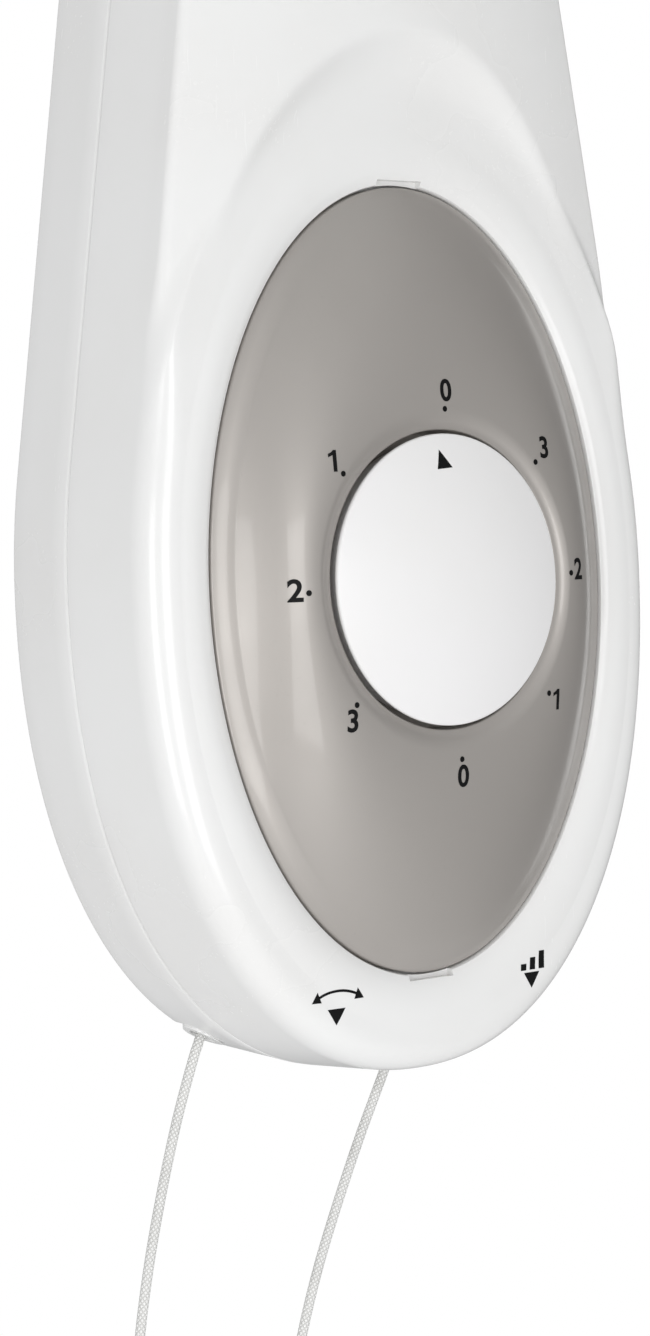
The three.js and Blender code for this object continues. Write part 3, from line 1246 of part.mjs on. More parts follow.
place(fan, 'wall_bracket', wallBracket(), STEEL);
place(fan, 'rear_shell', rearShell(), WHITE);
place(fan, 'front_shell', frontShell(), WHITE);
SCREWS.forEach((where, k) => place(fan, `shell_screw_${k + 1}`, shellScrew(where), STEEL));
place(fan, 'dial_plate', dialPlate(), DIAL_GREY);
place(fan, 'speed_knob', speedKnob(), WHITE);
place(fan, 'switch_spindle', switchSpindle(), CAST_ALUMINIUM);
place(fan, 'speed_switch', speedSwitch(), BLACK_PLASTIC);
place(fan, 'swing_switch', swingSwitch(), BLACK_PLASTIC);
place(fan, 'terminal_block', terminalBlock(), WHITE);
place(fan, 'capacitor', capacitor(), BLACK_PLASTIC);
place(fan, 'cable_grommet', cableGrommet(), RUBBER);
Object.entries(CORD_X).forEach(([name, x]) => {
  place(fan, `${name}_guide`, cordGuide(x), WHITE);
  place(fan, `${name}_plunger`, plunger(x), BLACK_PLASTIC);
  place(fan, `${name}_cord`, cord(CORD_ROUTES[name]), CORD_WHITE);
  place(fan, `${name}_bell`, bell(CORD_ROUTES[name]), WHITE);
});
place(fan, 'pivot_bracket', pivotBracket(), CAST_ALUMINIUM);
place(fan, 'tilt_bolt', tiltBolt(), STEEL);
place(fan, 'tilt_knob', tiltKnob(), WHITE);
place(fan, 'tilt_yoke', tiltYoke(), WHITE);
place(fan, 'swing_motor', swingMotor(), STEEL);
place(fan, 'head_bracket', headBracket(), WHITE);
place(head, 'motor_rear_cover', motorRearCover(), WHITE);
place(head, 'motor_front_cover', motorFrontCover(), WHITE);
place(head, 'rear_shield', rearShield(), CAST_ALUMINIUM);
place(head, 'front_shield', frontShield(), CAST_ALUMINIUM);
place(head, 'stator', stator(), COPPER);
place(head, 'rotor_core', rotorCore(), LAMINATION);
place(head, 'motor_shaft', motorShaft(), STEEL);
place(head, 'rear_guard', rearGuard(), WIRE_WHITE);
place(head, 'guard_nut', guardNut(), WHITE);
place(head, 'front_guard', frontGuard(), WIRE_WHITE);
place(head, 'guard_badge', guardBadge(), WHITE);
place(head, 'guard_band', guardBand(), WHITE);
place(head, 'band_screw', bandScrew(), STEEL);
place(head, 'band_nut', bandNut(), STEEL);
place(head, 'fan_blade', fanBlade(), BLADE_PLASTIC);
place(head, 'spinner_nut', spinnerNut(), WHITE);

export default fan;
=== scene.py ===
# %% [markdown]
# # A wall mounted fan, dressed over its frame
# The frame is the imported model: every piece at its real size, in metres, with the wall at y = 0 and
# the fan facing -Y. This notebook gives each piece its finish, and models again the ones whose plain
# frame solid has too few faces for a close look. The frame itself is never moved.

# %% Load the frame
import bpy
import json
import math
import numpy as np
from mathutils import Matrix, Vector


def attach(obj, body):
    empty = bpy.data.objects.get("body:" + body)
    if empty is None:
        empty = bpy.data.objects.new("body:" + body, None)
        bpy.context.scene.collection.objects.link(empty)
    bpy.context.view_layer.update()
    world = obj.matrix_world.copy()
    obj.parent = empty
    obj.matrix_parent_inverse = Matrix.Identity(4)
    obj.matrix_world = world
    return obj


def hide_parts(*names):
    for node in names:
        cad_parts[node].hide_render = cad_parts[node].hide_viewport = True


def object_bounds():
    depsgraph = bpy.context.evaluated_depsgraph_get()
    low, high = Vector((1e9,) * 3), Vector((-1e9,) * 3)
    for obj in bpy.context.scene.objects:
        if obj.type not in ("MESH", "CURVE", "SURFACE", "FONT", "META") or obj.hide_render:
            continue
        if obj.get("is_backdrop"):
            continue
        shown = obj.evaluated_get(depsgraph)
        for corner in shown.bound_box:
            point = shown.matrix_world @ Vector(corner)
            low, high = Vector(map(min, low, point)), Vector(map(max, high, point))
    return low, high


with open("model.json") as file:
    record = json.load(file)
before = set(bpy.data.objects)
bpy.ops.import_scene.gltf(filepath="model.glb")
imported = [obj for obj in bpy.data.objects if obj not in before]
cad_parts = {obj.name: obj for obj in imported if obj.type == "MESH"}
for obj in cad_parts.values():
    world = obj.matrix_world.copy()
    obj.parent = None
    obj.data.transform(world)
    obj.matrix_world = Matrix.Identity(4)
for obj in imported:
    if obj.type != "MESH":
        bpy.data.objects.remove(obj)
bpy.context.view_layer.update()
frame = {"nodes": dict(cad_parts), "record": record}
MM = 0.001

# %% [markdown]
# The photograph was taken from the front left, level with the dial. A camera was fitted to the dial's
# oval and the knob's rim, so its place, its turn and its focal length are known. A camera in Blender
# looks down its own -Z, so its turn is made of three directions: right, up and back. It could be placed
# by eye, but a fitted camera shows each piece where the photograph has it.

# %% Camera
CAMERA_PLACE = (-0.43907, -0.54675, -0.05654)
CAMERA_RIGHT = Vector((0.76845, -0.63852, -0.04215))
CAMERA_UP = Vector((0.05096, -0.00460, 0.99869))
LENS = 94.31


def added(name, data):
    """A new object with this data, in the scene."""
    item = bpy.data.objects.new(name, data)
    bpy.context.scene.collection.objects.link(item)
    return item


def add_camera():
    camera = added("camera", bpy.data.cameras.new("camera"))
    camera.data.lens = LENS
    back = CAMERA_RIGHT.cross(CAMERA_UP)
    turn = Matrix((CAMERA_RIGHT, CAMERA_UP, back)).transposed().to_4x4()
    camera.matrix_world = Matrix.Translation(CAMERA_PLACE) @ turn
    bpy.context.scene.camera = camera


add_camera()
print("camera at", CAMERA_PLACE, "with a lens of", LENS, "mm")

# %% [markdown]
# Every piece starts as by hand: a primitive is added, its points are laid where the form needs them, and
# edit mode does the rest. Sizes are in millimetres, and `at` turns a place across, forward of the wall
# and up into metres. `grid` lays a sheet of faces over rows of places. A mesh could also be built from
# lists of points and faces, but operators are the steps that are taken at the screen.

# %% Placing and editing
WELD_REACH = 0.004


def at(across, forward, up):
    return (across * MM, -forward * MM, up * MM)


def named(name):
    piece = bpy.context.object
    piece.name = name
    return piece


def settled(name):
    """Names a new piece whose place, turn and size go into its form, so that its object is at the origin."""
    bpy.ops.object.transform_apply()
    return named(name)


def pick(piece):
    bpy.ops.object.select_all(action="DESELECT")
    piece.select_set(True)
    bpy.context.view_layer.objects.active = piece


def select_whole():
    bpy.ops.mesh.select_all(action="SELECT")


def edit(piece, *steps):
    pick(piece)
    bpy.ops.object.mode_set(mode="EDIT")
    select_whole()
    for step in steps:
        step()
    bpy.ops.object.mode_set(mode="OBJECT")
    return piece


def weld():
    bpy.ops.mesh.remove_doubles(threshold=WELD_REACH * MM)


def fill_ends():
    """Caps every open loop, as a flat face."""
    bpy.ops.mesh.select_all(action="DESELECT")
    bpy.ops.mesh.select_mode(type="EDGE")
    bpy.ops.mesh.select_non_manifold(extend=False)
    bpy.ops.mesh.edge_face_add()
    bpy.ops.mesh.select_mode(type="VERT")


def face_one_way():
    select_whole()
    bpy.ops.mesh.normals_make_consistent(inside=False)


def smooth(piece, angle=35):
    pick(piece)
    bpy.ops.object.shade_smooth_by_angle(angle=math.radians(angle))
    return piece


def grid(name, rows):
    down, across = rows.shape[:2]
    bpy.ops.mesh.primitive_grid_add(x_subdivisions=across - 1, y_subdivisions=down - 1, size=1)
    sheet = named(name)
    sheet.data.vertices.foreach_set("co", (rows.reshape(-1, 3) * (MM, -MM, MM)).ravel())
    return sheet


print("editing helpers ready")

# %% [markdown]
# The two pull cords come first, as they decide how far down the picture reaches. Each is a thin braided
# cord tied to its plunger inside the housing. It sways to one side as it leaves, then hangs straight
# into its bell. A ring of points is swept along the route, turned so that it stays square to it. A curve
# with a bevel would make such a tube too, but only the swept points also say how far along and how far
# round the cord they lie, as the braid needs.

# %% Routes
CORD_THICK = 2
ROUTES = {
    "swing": [
        (-25, 5, -141.3), (-25.2, 5, -146), (-27.4, 5, -151), (-30, 5.1, -157), (-32.4, 5.2, -163),
        (-35.6, 5.4, -172), (-38.5, 5.6, -181), (-41.1, 5.8, -190), (-43.5, 6, -200),
        (-45.6, 6.3, -211), (-47.2, 6.6, -223), (-48.3, 6.9, -236), (-49, 7.2, -250),
        (-49.3, 7.5, -264), (-49.4, 7.8, -278), (-49.4, 8, -290), (-49.4, 8, -300),
    ],
    "speed": [
        (25, 5, -141.3), (25, 5, -147), (24.3, 5, -152), (22.1, 5.1, -157.5), (18.4, 5.2, -164),
        (14.2, 5.4, -171), (10, 5.6, -178.5), (6, 5.8, -186), (1.1, 6, -196), (-3.5, 6.3, -207),
        (-7.5, 6.6, -219), (-10.6, 6.9, -232), (-12.7, 7.2, -246), (-13.8, 7.5, -260),
        (-14.2, 7.8, -274), (-14.3, 8, -286), (-14.3, 8, -296),
    ],
}


def travelled(line, power=1):
    """The sum of a line's steps up to each of its points, with each step raised to a power."""
    steps = np.linalg.norm(np.diff(line, axis=0), axis=1) ** power
    return np.concatenate([[0], np.cumsum(steps)])


def eased(route, step=1.0):
    """A smooth line through the route's points, as places in millimetres about `step` apart."""
    points = np.array(route, float)
    knots = travelled(points, 0.5)
    points = np.vstack([2 * points[0] - points[1], points, 2 * points[-1] - points[-2]])
    knots = np.concatenate([[2 * knots[0] - knots[1]], knots, [2 * knots[-1] - knots[-2]]])
    line = []
    for k in range(1, len(points) - 2):
        ticks = knots[k - 1:k + 3, None]
        spans = ((ticks[:3], ticks[1:]), (ticks[:2], ticks[2:]), (ticks[1:2], ticks[2:3]))
        count = max(2, round(np.linalg.norm(points[k + 1] - points[k]) / step))
        for t in np.linspace(knots[k], knots[k + 1], count, endpoint=False):
            near = points[k - 1:k + 3]
            for start, end in spans:
                near = (end - t) / (end - start) * near[:-1] + (t - start) / (end - start) * near[1:]
            line.append(near[0])
    line.append(points[-2])
    return np.array(line)


print("routes of", " and ".join(f"{len(route)} points" for route in ROUTES.values()))

# %% Pull cords
def unit(vectors):
    return vectors / np.linalg.norm(vectors, axis=1)[:, None]


def swept(name, line, radius, sides=16):
    """A round tube along a line, with the distance along it and the way round it as its `lie` layer."""
    along = unit(np.gradient(line, axis=0))
    across = unit(np.cross(along, (0, 1, 0)))
    third = np.cross(along, across)
    turns = np.linspace(0, 2 * np.pi, sides + 1)[:, None]
    spokes = np.cos(turns) * across[:, None] + np.sin(turns) * third[:, None]
    tube = grid(name, line[:, None] + radius * spokes)
    lie = tube.data.uv_layers.new(name="lie")
    corner = np.empty(len(tube.data.loops), int)
    tube.data.loops.foreach_get("vertex_index", corner)
    row, column = corner // (sides + 1), corner % (sides + 1)
    lie.data.foreach_set("uv", np.column_stack([travelled(line)[row], column / sides]).ravel())
    return smooth(edit(tube, weld, fill_ends, face_one_way), 50)


CORDS = {}
for pull, route in ROUTES.items():
    line = eased(route)
    cord, cord_length = swept(pull + "_braid", line, CORD_THICK / 2), travelled(line)[-1]
    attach(cord, pull + "_pull")
    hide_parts(pull + "_cord")
    CORDS[pull] = (cord, line, cord_length)
    print(f"{pull}: {cord_length:.1f} mm of cord")

# %% [markdown]
# The other pieces start in one of a few ways. `skin` closes a grid over rows of points, `spun` turns a
# profile round an axis, and `plate` gives an outline a thickness. A profile's corners say how much each
# is rounded. A coarse cage with a Subdivision Surface is quicker to draw, but it shrinks away from its
# sizes.

# %% Skins and profiles
def face_out():
    """Turns all faces the same way, and that way away from the middle."""
    face_one_way()
    bpy.ops.object.mode_set(mode="OBJECT")
    faces = bpy.context.object.data.polygons
    centres = np.array([face.center for face in faces])
    normals = np.array([face.normal * face.area for face in faces])
    inwards = ((centres - centres.mean(axis=0)) * normals).sum() < 0
    bpy.ops.object.mode_set(mode="EDIT")
    select_whole()
    if inwards:
        bpy.ops.mesh.flip_normals()


def close_up():
    """Welds a form along its seams, clears what the weld leaves loose and turns its faces outwards."""
    weld()
    bpy.ops.mesh.delete_loose(use_verts=True, use_edges=True, use_faces=False)
    face_out()


def skin(name, rows, closed=True):
    rows = np.asarray(rows, float)
    if closed:
        rows = np.concatenate([rows, rows[:, :1]], axis=1)
    return edit(grid(name, rows), close_up)


def bend(start, towards, end, steps=12):
    """A curve that leaves the start towards one point and comes from it to the end."""
    start, towards, end = (np.array(p, float) for p in (start, towards, end))
    turns = np.linspace(0, 1, steps)
    return [tuple((1 - t) ** 2 * start + 2 * t * (1 - t) * towards + t ** 2 * end) for t in turns]


def rounded(corners, steps=4):
    """A closed profile whose corners, each (x, y, radius), are rounded."""
    points = []
    for k, (x, y, radius) in enumerate(corners):
        here = np.array([x, y], float)
        if not radius:
            points.append(tuple(here))
            continue
        before = np.array(corners[k - 1][:2], float) - here
        after = np.array(corners[(k + 1) % len(corners)][:2], float) - here
        reach = min(radius, 0.49 * np.hypot(*before), 0.49 * np.hypot(*after))
        start = here + before / np.hypot(*before) * reach
        points += bend(start, here, here + after / np.hypot(*after) * reach, steps + 1)
    return points


print("skins and profiles ready")

# %% Spun, flat and straight forms
def moved(piece, place):
    piece.data.transform(Matrix.Translation(at(*place)))
    return piece


def outline(name, places, fill="NGON"):
    """A closed line through places in metres, filled unless `fill` says otherwise."""
    bpy.ops.mesh.primitive_circle_add(vertices=len(places), radius=1, fill_type=fill)
    piece = named(name)
    for vertex, place in zip(piece.data.vertices, places):
        vertex.co = place
    return piece


def spun(name, corners, steps=96, middle=(0, 0, 0), upright=False, curve=4):
    """A closed profile of (radius, distance) turned round the fan's axis, or round an upright one."""
    places = [at(r, 0, d) if upright else at(r, d, 0) for r, d in rounded(corners, curve)]
    axis = (0, 0, 1) if upright else (0, 1, 0)
    return moved(edit(
        outline(name, places, "NOTHING"),
        lambda: bpy.ops.mesh.spin(steps=steps, angle=2 * math.pi, center=(0, 0, 0), axis=axis),
        select_whole,
        close_up,
    ), middle)


def plate(name, points, span, upright=False):
    """A flat outline given a thickness: (forward, up) points across the fan, or (across, forward) upwards."""
    places = [at(u, v, span[0]) if upright else at(span[0], u, v) for u, v in points]
    thick = (span[1] - span[0]) * MM
    push = {"value": (0, 0, thick) if upright else (thick, 0, 0)}
    return edit(
        outline(name, places),
        lambda: bpy.ops.mesh.extrude_region_move(TRANSFORM_OT_translate=push),
        face_out,
    )


def block(name, across, forward, up):
    low, high = Vector(at(across[0], forward[1], up[0])), Vector(at(across[1], forward[0], up[1]))
    bpy.ops.mesh.primitive_cube_add(size=1, location=(low + high) / 2)
    bpy.context.object.scale = high - low
    return settled(name)


def rod(name, radius, start, end, sides=32):
    start, end = Vector(at(*start)), Vector(at(*end))
    bpy.ops.mesh.primitive_cylinder_add(
        vertices=sides,
        radius=radius * MM,
        depth=(end - start).length,
        location=(start + end) / 2,
        rotation=(end - start).to_track_quat("Z", "Y").to_euler(),
    )
    return settled(name)


print("spun, plate, block and rod ready")

# %% [markdown]
# Pieces are finished with modifiers, which are applied at once, so that what is seen is what the mesh
# holds. `combine` cuts or joins with the Boolean modifier and takes the tools away afterwards.

# %% Finishing a form
def apply(piece, kind, **settings):
    pick(piece)
    modifier = piece.modifiers.new(kind.title(), kind)
    for key, value in settings.items():
        setattr(modifier, key, value)
    bpy.ops.object.modifier_apply(modifier=modifier.name)
    return piece


def combine(piece, operation, *tools):
    for tool in tools:
        apply(piece, "BOOLEAN", operation=operation, object=tool, solver="MANIFOLD")
        bpy.data.objects.remove(tool)
    return piece


def cut(piece, *tools):
    return combine(piece, "DIFFERENCE", *tools)


def join(piece, *tools):
    return combine(piece, "UNION", *tools)


def soften(piece, width, segments=2, angle=32):
    limits = {"limit_method": "ANGLE", "angle_limit": math.radians(angle), "use_clamp_overlap": True}
    return apply(piece, "BEVEL", width=width * MM, segments=segments, **limits)


def together(name, pieces):
    """Several separate forms as one piece."""
    pick(pieces[0])
    for piece in pieces[1:]:
        piece.select_set(True)
    if len(pieces) > 1:
        bpy.ops.object.join()
    return named(name)


def copied(piece, count, middle=(0, 0, 0)):
    """The piece and its copies turned round the middle, as seen from the front."""
    centre = Matrix.Translation(at(*middle))
    copies = [piece]
    for k in range(1, count):
        twin = added(piece.name, piece.data.copy())
        turn = Matrix.Rotation(2 * math.pi * k / count, 4, "Y")
        twin.data.transform(centre @ turn @ centre.inverted())
        copies.append(twin)
    return copies


print("finishing tools ready")

# %% [markdown]
# A finish is a tree of shader nodes on one Principled shader. Its maths reads as plain Python: `Field`
# wraps a node's output and overloads the operators, so `1 - mask * 0.2` adds its Math nodes by itself.
# Every other node comes from `Tree.node`, which the studio's world uses too. The nodes could be linked
# one by one, but a line of maths is easier to read and to change.

# %% Writing finishes as expressions
def operator(operation, swapped=False):
    """A method that adds one Math node."""
    def method(self, other):
        values = (other, self) if swapped else (self, other)
        return self.tree.node("Math", {"operation": operation}, *values)
    return method


class Field:
    """What a node gives out: a value that varies over a surface, or a shader."""

    __add__, __radd__ = operator("ADD"), operator("ADD", True)
    __sub__, __rsub__ = operator("SUBTRACT"), operator("SUBTRACT", True)
    __mul__, __rmul__ = operator("MULTIPLY"), operator("MULTIPLY", True)

    def __init__(self, tree, socket):
        self.tree, self.socket = tree, socket

    def above(self, low, high):
        """0 below low, 1 above high and a soft step between."""
        settings = {"interpolation_type": "SMOOTHSTEP"}
        return self.tree.node("MapRange", settings, self, low, high, 0, 1)


class Tree:
    def __init__(self, owner):
        owner.use_nodes = True
        self.nodes, self.links = owner.node_tree.nodes, owner.node_tree.links

    def feed(self, socket, value):
        if isinstance(value, Field):
            self.links.new(value.socket, socket)
        else:
            socket.default_value = value

    def node(self, kind, settings=None, *values, output=0, **named_values):
        node = self.nodes.new("ShaderNode" + kind)
        for key, value in (settings or {}).items():
            setattr(node, key, value)
        for socket, value in zip(node.inputs, values):
            self.feed(socket, value)
        for key, value in named_values.items():
            self.feed(node.inputs[key], value)
        return Field(self, node.outputs[output])


print("fields and trees ready")

# %% Finishes on one shader
class Finish(Tree):
    def __init__(self, name, **constants):
        self.material = bpy.data.materials.new(name)
        super().__init__(self.material)
        self.shader = self.nodes["Principled BSDF"]
        for key, value in constants.items():
            label = key.replace("_", " ").title().replace("Ior", "IOR")
            self.shader.inputs[label].default_value = value
        self.place = self.node("TexCoord", output="Object")

    def noise(self, size, detail=2.0, vector=None):
        """Soft noise whose spots are about `size` millimetres across."""
        return self.node("TexNoise", None, Vector=vector or self.place, Scale=1 / (size * MM), Detail=detail)

    def tone_and_relief(self, mask, colour, shade, rough, height, depth):
        """Goes from the colour to the shade by the mask, with bumps about `depth` millimetres deep."""
        tone = self.node("Mix", {"data_type": "RGBA"}, mask, output=2)
        for socket, value in zip(tone.socket.node.inputs[6:8], (colour, shade)):
            socket.default_value = rgb(*value)
        relief = self.node("Bump", None, Height=height, Distance=depth * MM)
        for key, value in {"Base Color": tone, "Roughness": rough, "Normal": relief}.items():
            self.feed(self.shader.inputs[key], value)
        return self.material


def rgb(*levels):
    """A colour as it is seen on a screen, 0 to 255, turned into light."""
    seen = [level / 255 for level in levels]
    return (*(v / 12.92 if v <= 0.04045 else ((v + 0.055) / 1.055) ** 2.4 for v in seen), 1)


print("mid grey as light:", round(rgb(128, 128, 128)[0], 3))

# %% [markdown]
# The housing, knob and covers are moulded in a glossy white plastic. Up close such a moulding is never
# quite even: its gloss varies softly, a faint orange-peel ripple bends the reflections, a little dust
# and handling dulls it here and there, and hairline scratches cross it. A picture of plastic would need
# seams on such round forms. Noise on Object coordinates has none.

# %% Glossy plastic
def moulded(name, colour, shade, gloss, ripple=0.012, scratches=0.4, **layers):
    finish = Finish(name, ior=1.5, **layers)
    cloud = finish.noise(38, 3)
    grain = {"Vector": finish.place, "Scale": (1, 1, 0.06), "Rotation": (0.5, 0.35, 0.8)}
    hair = finish.noise(0.5, 1, finish.node("Mapping", None, **grain)).above(0.68, 0.74)
    hair = hair * finish.noise(24, 1).above(0.52, 0.62)
    dust = finish.noise(0.9, 2).above(0.63, 0.75) * cloud.above(0.4, 0.7)
    rough = gloss + 0.1 * cloud.above(0.35, 0.75) + 0.05 * dust + 0.12 * scratches * hair
    height = finish.noise(5.5, 2) * 0.7 + finish.noise(2.6, 2) * 0.3
    return finish.tone_and_relief(cloud.above(0.3, 0.75) * 0.5 + dust * 0.25, colour, shade, rough, height, ripple)


FINISHES = {
    "white_shell": moulded(
        "gloss_white", (240, 240, 239), (234, 233, 231), 0.2, coat_weight=0.15, coat_roughness=0.05),
    "white_knob": moulded("knob_white", (241, 240, 240), (236, 235, 233), 0.28, 0.008),
    "dial_grey": moulded(
        "warm_grey", (178, 173, 168), (170, 165, 160), 0.4, 0.009, 0.7,
        metallic=0.45, coat_weight=0.5, coat_roughness=0.08),
}
print("plastics:", ", ".join(FINISHES))

# %% [markdown]
# The rest of the finishes: pale blue blades, coated wire, black plastic with a fine grain, rubber,
# zinc-plated sheet with its spangle, cast aluminium with its sand texture, the motor's copper and
# laminations, braided cord, and the print. Each is noise, cells or waves on Object coordinates, as fine
# as the real grain. Only the braid follows its cord, by the cord's own layer.

# %% Blades, wire, black plastic and rubber
def blade_plastic():
    finish = Finish("pale_blue_plastic", ior=1.5)
    cloud = finish.noise(45, 2)
    dust = finish.noise(1.4, 3).above(0.5, 0.72)
    mask = cloud.above(0.3, 0.7) * 0.6 + dust * 0.2
    rough = 0.16 + 0.12 * dust + 0.06 * cloud
    return finish.tone_and_relief(mask, (219, 226, 230), (205, 212, 215), rough, finish.noise(7, 2), 0.02)


def coated_wire():
    finish = Finish("coated_wire", ior=1.5)
    spots = finish.noise(3, 3)
    mask, rough = spots.above(0.45, 0.75), 0.26 + 0.14 * spots
    return finish.tone_and_relief(mask, (232, 232, 230), (219, 218, 214), rough, finish.noise(1.2, 2), 0.03)


def grained_black():
    finish = Finish("grained_black", ior=1.48)
    grain = finish.noise(0.7, 3)
    scuff = finish.noise(12, 3).above(0.5, 0.75)
    rough = 0.42 + 0.16 * grain + 0.1 * scuff
    return finish.tone_and_relief(scuff * 0.5, (38, 39, 41), (64, 65, 67), rough, grain, 0.05)


def soft_rubber():
    finish = Finish("soft_rubber", ior=1.45)
    bloom = finish.noise(5, 3)
    mask, rough = bloom.above(0.4, 0.8), 0.68 + 0.16 * bloom
    return finish.tone_and_relief(mask, (42, 42, 42), (70, 69, 67), rough, finish.noise(0.5, 2), 0.04)


FINISHES |= {
    "blade_plastic": blade_plastic(),
    "white_wire": coated_wire(),
    "black_plastic": grained_black(),
    "rubber": soft_rubber(),
}
print("finishes so far:", ", ".join(FINISHES))

# %% Metals
RINGS, BANDS = {"wave_type": "RINGS", "rings_direction": "Y"}, {"bands_direction": "Y"}


def plated_steel():
    finish = Finish("plated_steel", metallic=1.0)
    spangle = finish.node("TexVoronoi", None, Vector=finish.place, Scale=1 / (7 * MM), output="Color")
    patch = finish.node("SeparateColor", None, spangle)
    rub = finish.noise(9, 4)
    mask, rough = patch * 0.7 + 0.15 * rub, 0.24 + 0.16 * patch + 0.12 * rub
    return finish.tone_and_relief(mask, (196, 198, 201), (168, 171, 175), rough, finish.noise(0.8, 3), 0.02)


def cast_metal():
    finish = Finish("cast_metal", metallic=1.0)
    sand = finish.noise(0.9, 3)
    mask = finish.noise(16, 3).above(0.35, 0.7)
    return finish.tone_and_relief(mask, (186, 188, 190), (160, 162, 165), 0.42 + 0.2 * sand, sand, 0.1)


def striped(name, settings, scale, colour, shade, rough, depth):
    """Metal in fine lines, as a motor's wires and stacked sheets are."""
    finish = Finish(name, metallic=1.0)
    lines = finish.node("TexWave", settings, Vector=finish.place, Scale=scale)
    return finish.tone_and_relief(lines, colour, shade, rough + 0.2 * lines, lines, depth)


FINISHES |= {
    "zinc_steel": plated_steel(),
    "cast_aluminium": cast_metal(),
    "winding": striped("wound_copper", RINGS, 900, (150, 84, 48), (196, 122, 74), 0.3, 0.2),
    "lamination": striped("stacked_steel", BANDS, 600, (92, 96, 101), (128, 132, 137), 0.4, 0.1),
}
print("finishes so far:", ", ".join(FINISHES))

# %% Cord and print
def braided():
    finish = Finish("braided_cord", ior=1.45)
    lie = finish.node("UVMap", {"uv_map": "lie"})
    along, around = (finish.node("SeparateXYZ", None, lie, output=k) for k in (0, 1))

    def strands(slant):
        wave = finish.node("Math", {"operation": "SINE"}, (around * 6 + along * slant) * math.pi)
        return finish.node("Math", {"operation": "ABSOLUTE"}, wave)

    thread = finish.noise(0.25, 2)
    crown = strands(0.95) * strands(-0.95)
    soil = finish.noise(9, 3).above(0.45, 0.75)
    # The grooves between the strands are painted darker, as painted shade, and the soil noise on top is dirt.
    mask = (1 - crown.above(0, 0.7)) * 0.6 + soil * 0.25
    rough, height = 0.72 + 0.15 * thread, crown + thread * 0.2
    return finish.tone_and_relief(mask, (247, 247, 245), (186, 185, 181), rough, height, 0.16)


def printed_black():
    finish = Finish("black_print", ior=1.48, specular_ior_level=0.2)
    ink = finish.noise(0.5, 3)
    return finish.tone_and_relief(ink.above(0.6, 0.85), (10, 10, 11), (30, 30, 32), 0.5 + 0.15 * ink, ink, 0.01)


FINISHES["cord"], BLACK_PRINT = braided(), printed_black()
print(len(FINISHES), "finishes and", BLACK_PRINT.name)

# %% [markdown]
# Each node of the frame keeps its form unless a piece replaces it. The record says which slot a node's
# finish belongs to, so the nodes are dressed in one go. `dress` then gives a new piece the finish of its
# node's slot and its body, and hides the node that it stands for. This could be typed out for each
# piece, but the record knows it already.

# %% Dress the frame
SLOT_OF = {row["node"]: row["material_slot"] for row in frame["record"]["subparts"]}
BODIES = frame["record"]["behaviour"]["bodies"]
BODY_OF = {node: body for body, nodes in BODIES.items() for node in nodes}
for node, piece in frame["nodes"].items():
    piece.data.materials.clear()
    piece.data.materials.append(FINISHES[SLOT_OF[node]])


def dress(piece, node, finish=None, stands_for=True, angle=35):
    smooth(piece, angle)
    piece.data.materials.clear()
    piece.data.materials.append(finish or FINISHES[SLOT_OF[node]])
    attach(piece, BODY_OF[node])
    if stands_for:
        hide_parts(node)
    triangles = sum(len(face.vertices) - 2 for face in piece.data.polygons)
    print(f"{piece.name}: {triangles} triangles on {BODY_OF[node]}")
    return piece


print("dressed", len(frame["nodes"]), "nodes in", len(set(SLOT_OF.values())), "finishes")

# %% [markdown]
# The front shell is one moulding: an oval pod with a rounded bezel, which runs on into a tapered neck.
# The pod's lower end is a little flatter than an oval, where the cords leave. The neck's crowned front
# is scooped out in an arch over the bezel and then leans forward to the head. Such a skin is best laid
# as rings that run round the dial, from the dial's recess out to the outline and back along the sides,
# because its highlights then follow the rings. Each point's height comes from three simple forms: the
# pod's bezel, the neck's crown and the arch, blended with a soft edge. It could also be cut from a block
# and bevelled, but the bevels would break the highlights where the arch meets the pod.

# %% Housing sizes and outline
DIAL_Z = -60
POD = (63.6, 97)
POD_LOW = 94.2
SQUARENESS = 2.16
STRETCH = POD[1] / POD[0]
TAPER_START = 23
DRAFT = 0.6
WALL = 2.4
PARTING = 20.3
NECK_TOP = 150
REAR_TOP = 104
TAPER = TAPER_START / POD[1]
TAPER_WIDTH = POD[0] * math.sqrt(1 - TAPER ** 2)
TAPER_SLOPE = POD[0] * TAPER / POD[1] / math.sqrt(1 - TAPER ** 2)


def half_width(z):
    return TAPER_WIDTH - TAPER_SLOPE * (z - DIAL_Z - TAPER_START)


def share(value, low, high):
    return np.clip((value - low) / (high - low), 0, 1)


def half_outline(top, round_top=0.0, steps=(64, 64, 20)):
    """The right half of the housing's outline from its lowest point up: places and outward directions."""
    places, outs = [], []
    for a in np.linspace(-np.pi / 2, math.asin(TAPER), steps[0]):
        across, up = math.cos(a), math.sin(a)
        power, height = (2 / SQUARENESS, POD_LOW) if up < 0 else (1, POD[1])
        places.append((POD[0] * across ** power, DIAL_Z + math.copysign(height * abs(up) ** power, up)))
        outs.append((across ** (2 - power) / POD[0], math.copysign(abs(up) ** (2 - power) / height, up)))
    side = np.array(outs[-1]) / np.hypot(*outs[-1])
    high = top - round_top
    for z in np.linspace(DIAL_Z + TAPER_START, high, steps[1])[1:]:
        places.append((half_width(z), z))
        outs.append(side)
    if round_top:
        centre = places[-1][0] - round_top
        for a in np.linspace(math.atan2(side[1], side[0]), np.pi / 2, 10)[1:]:
            places.append((centre + round_top * math.cos(a), high + round_top * math.sin(a)))
            outs.append((math.cos(a), math.sin(a)))
    for x in np.linspace(places[-1][0], 0, steps[2])[1:]:
        places.append((x, top))
        outs.append((0, 1))
    return np.array(places), unit(np.array(outs))


def whole(halves):
    """The places and outward directions of both halves, as one closed loop."""
    return [np.vstack([half, half[-2:0:-1] * (-1, 1)]) for half in halves]


print("the housing is", 2 * POD[0], "mm wide, its neck", round(2 * half_width(NECK_TOP), 1), "mm at the top")

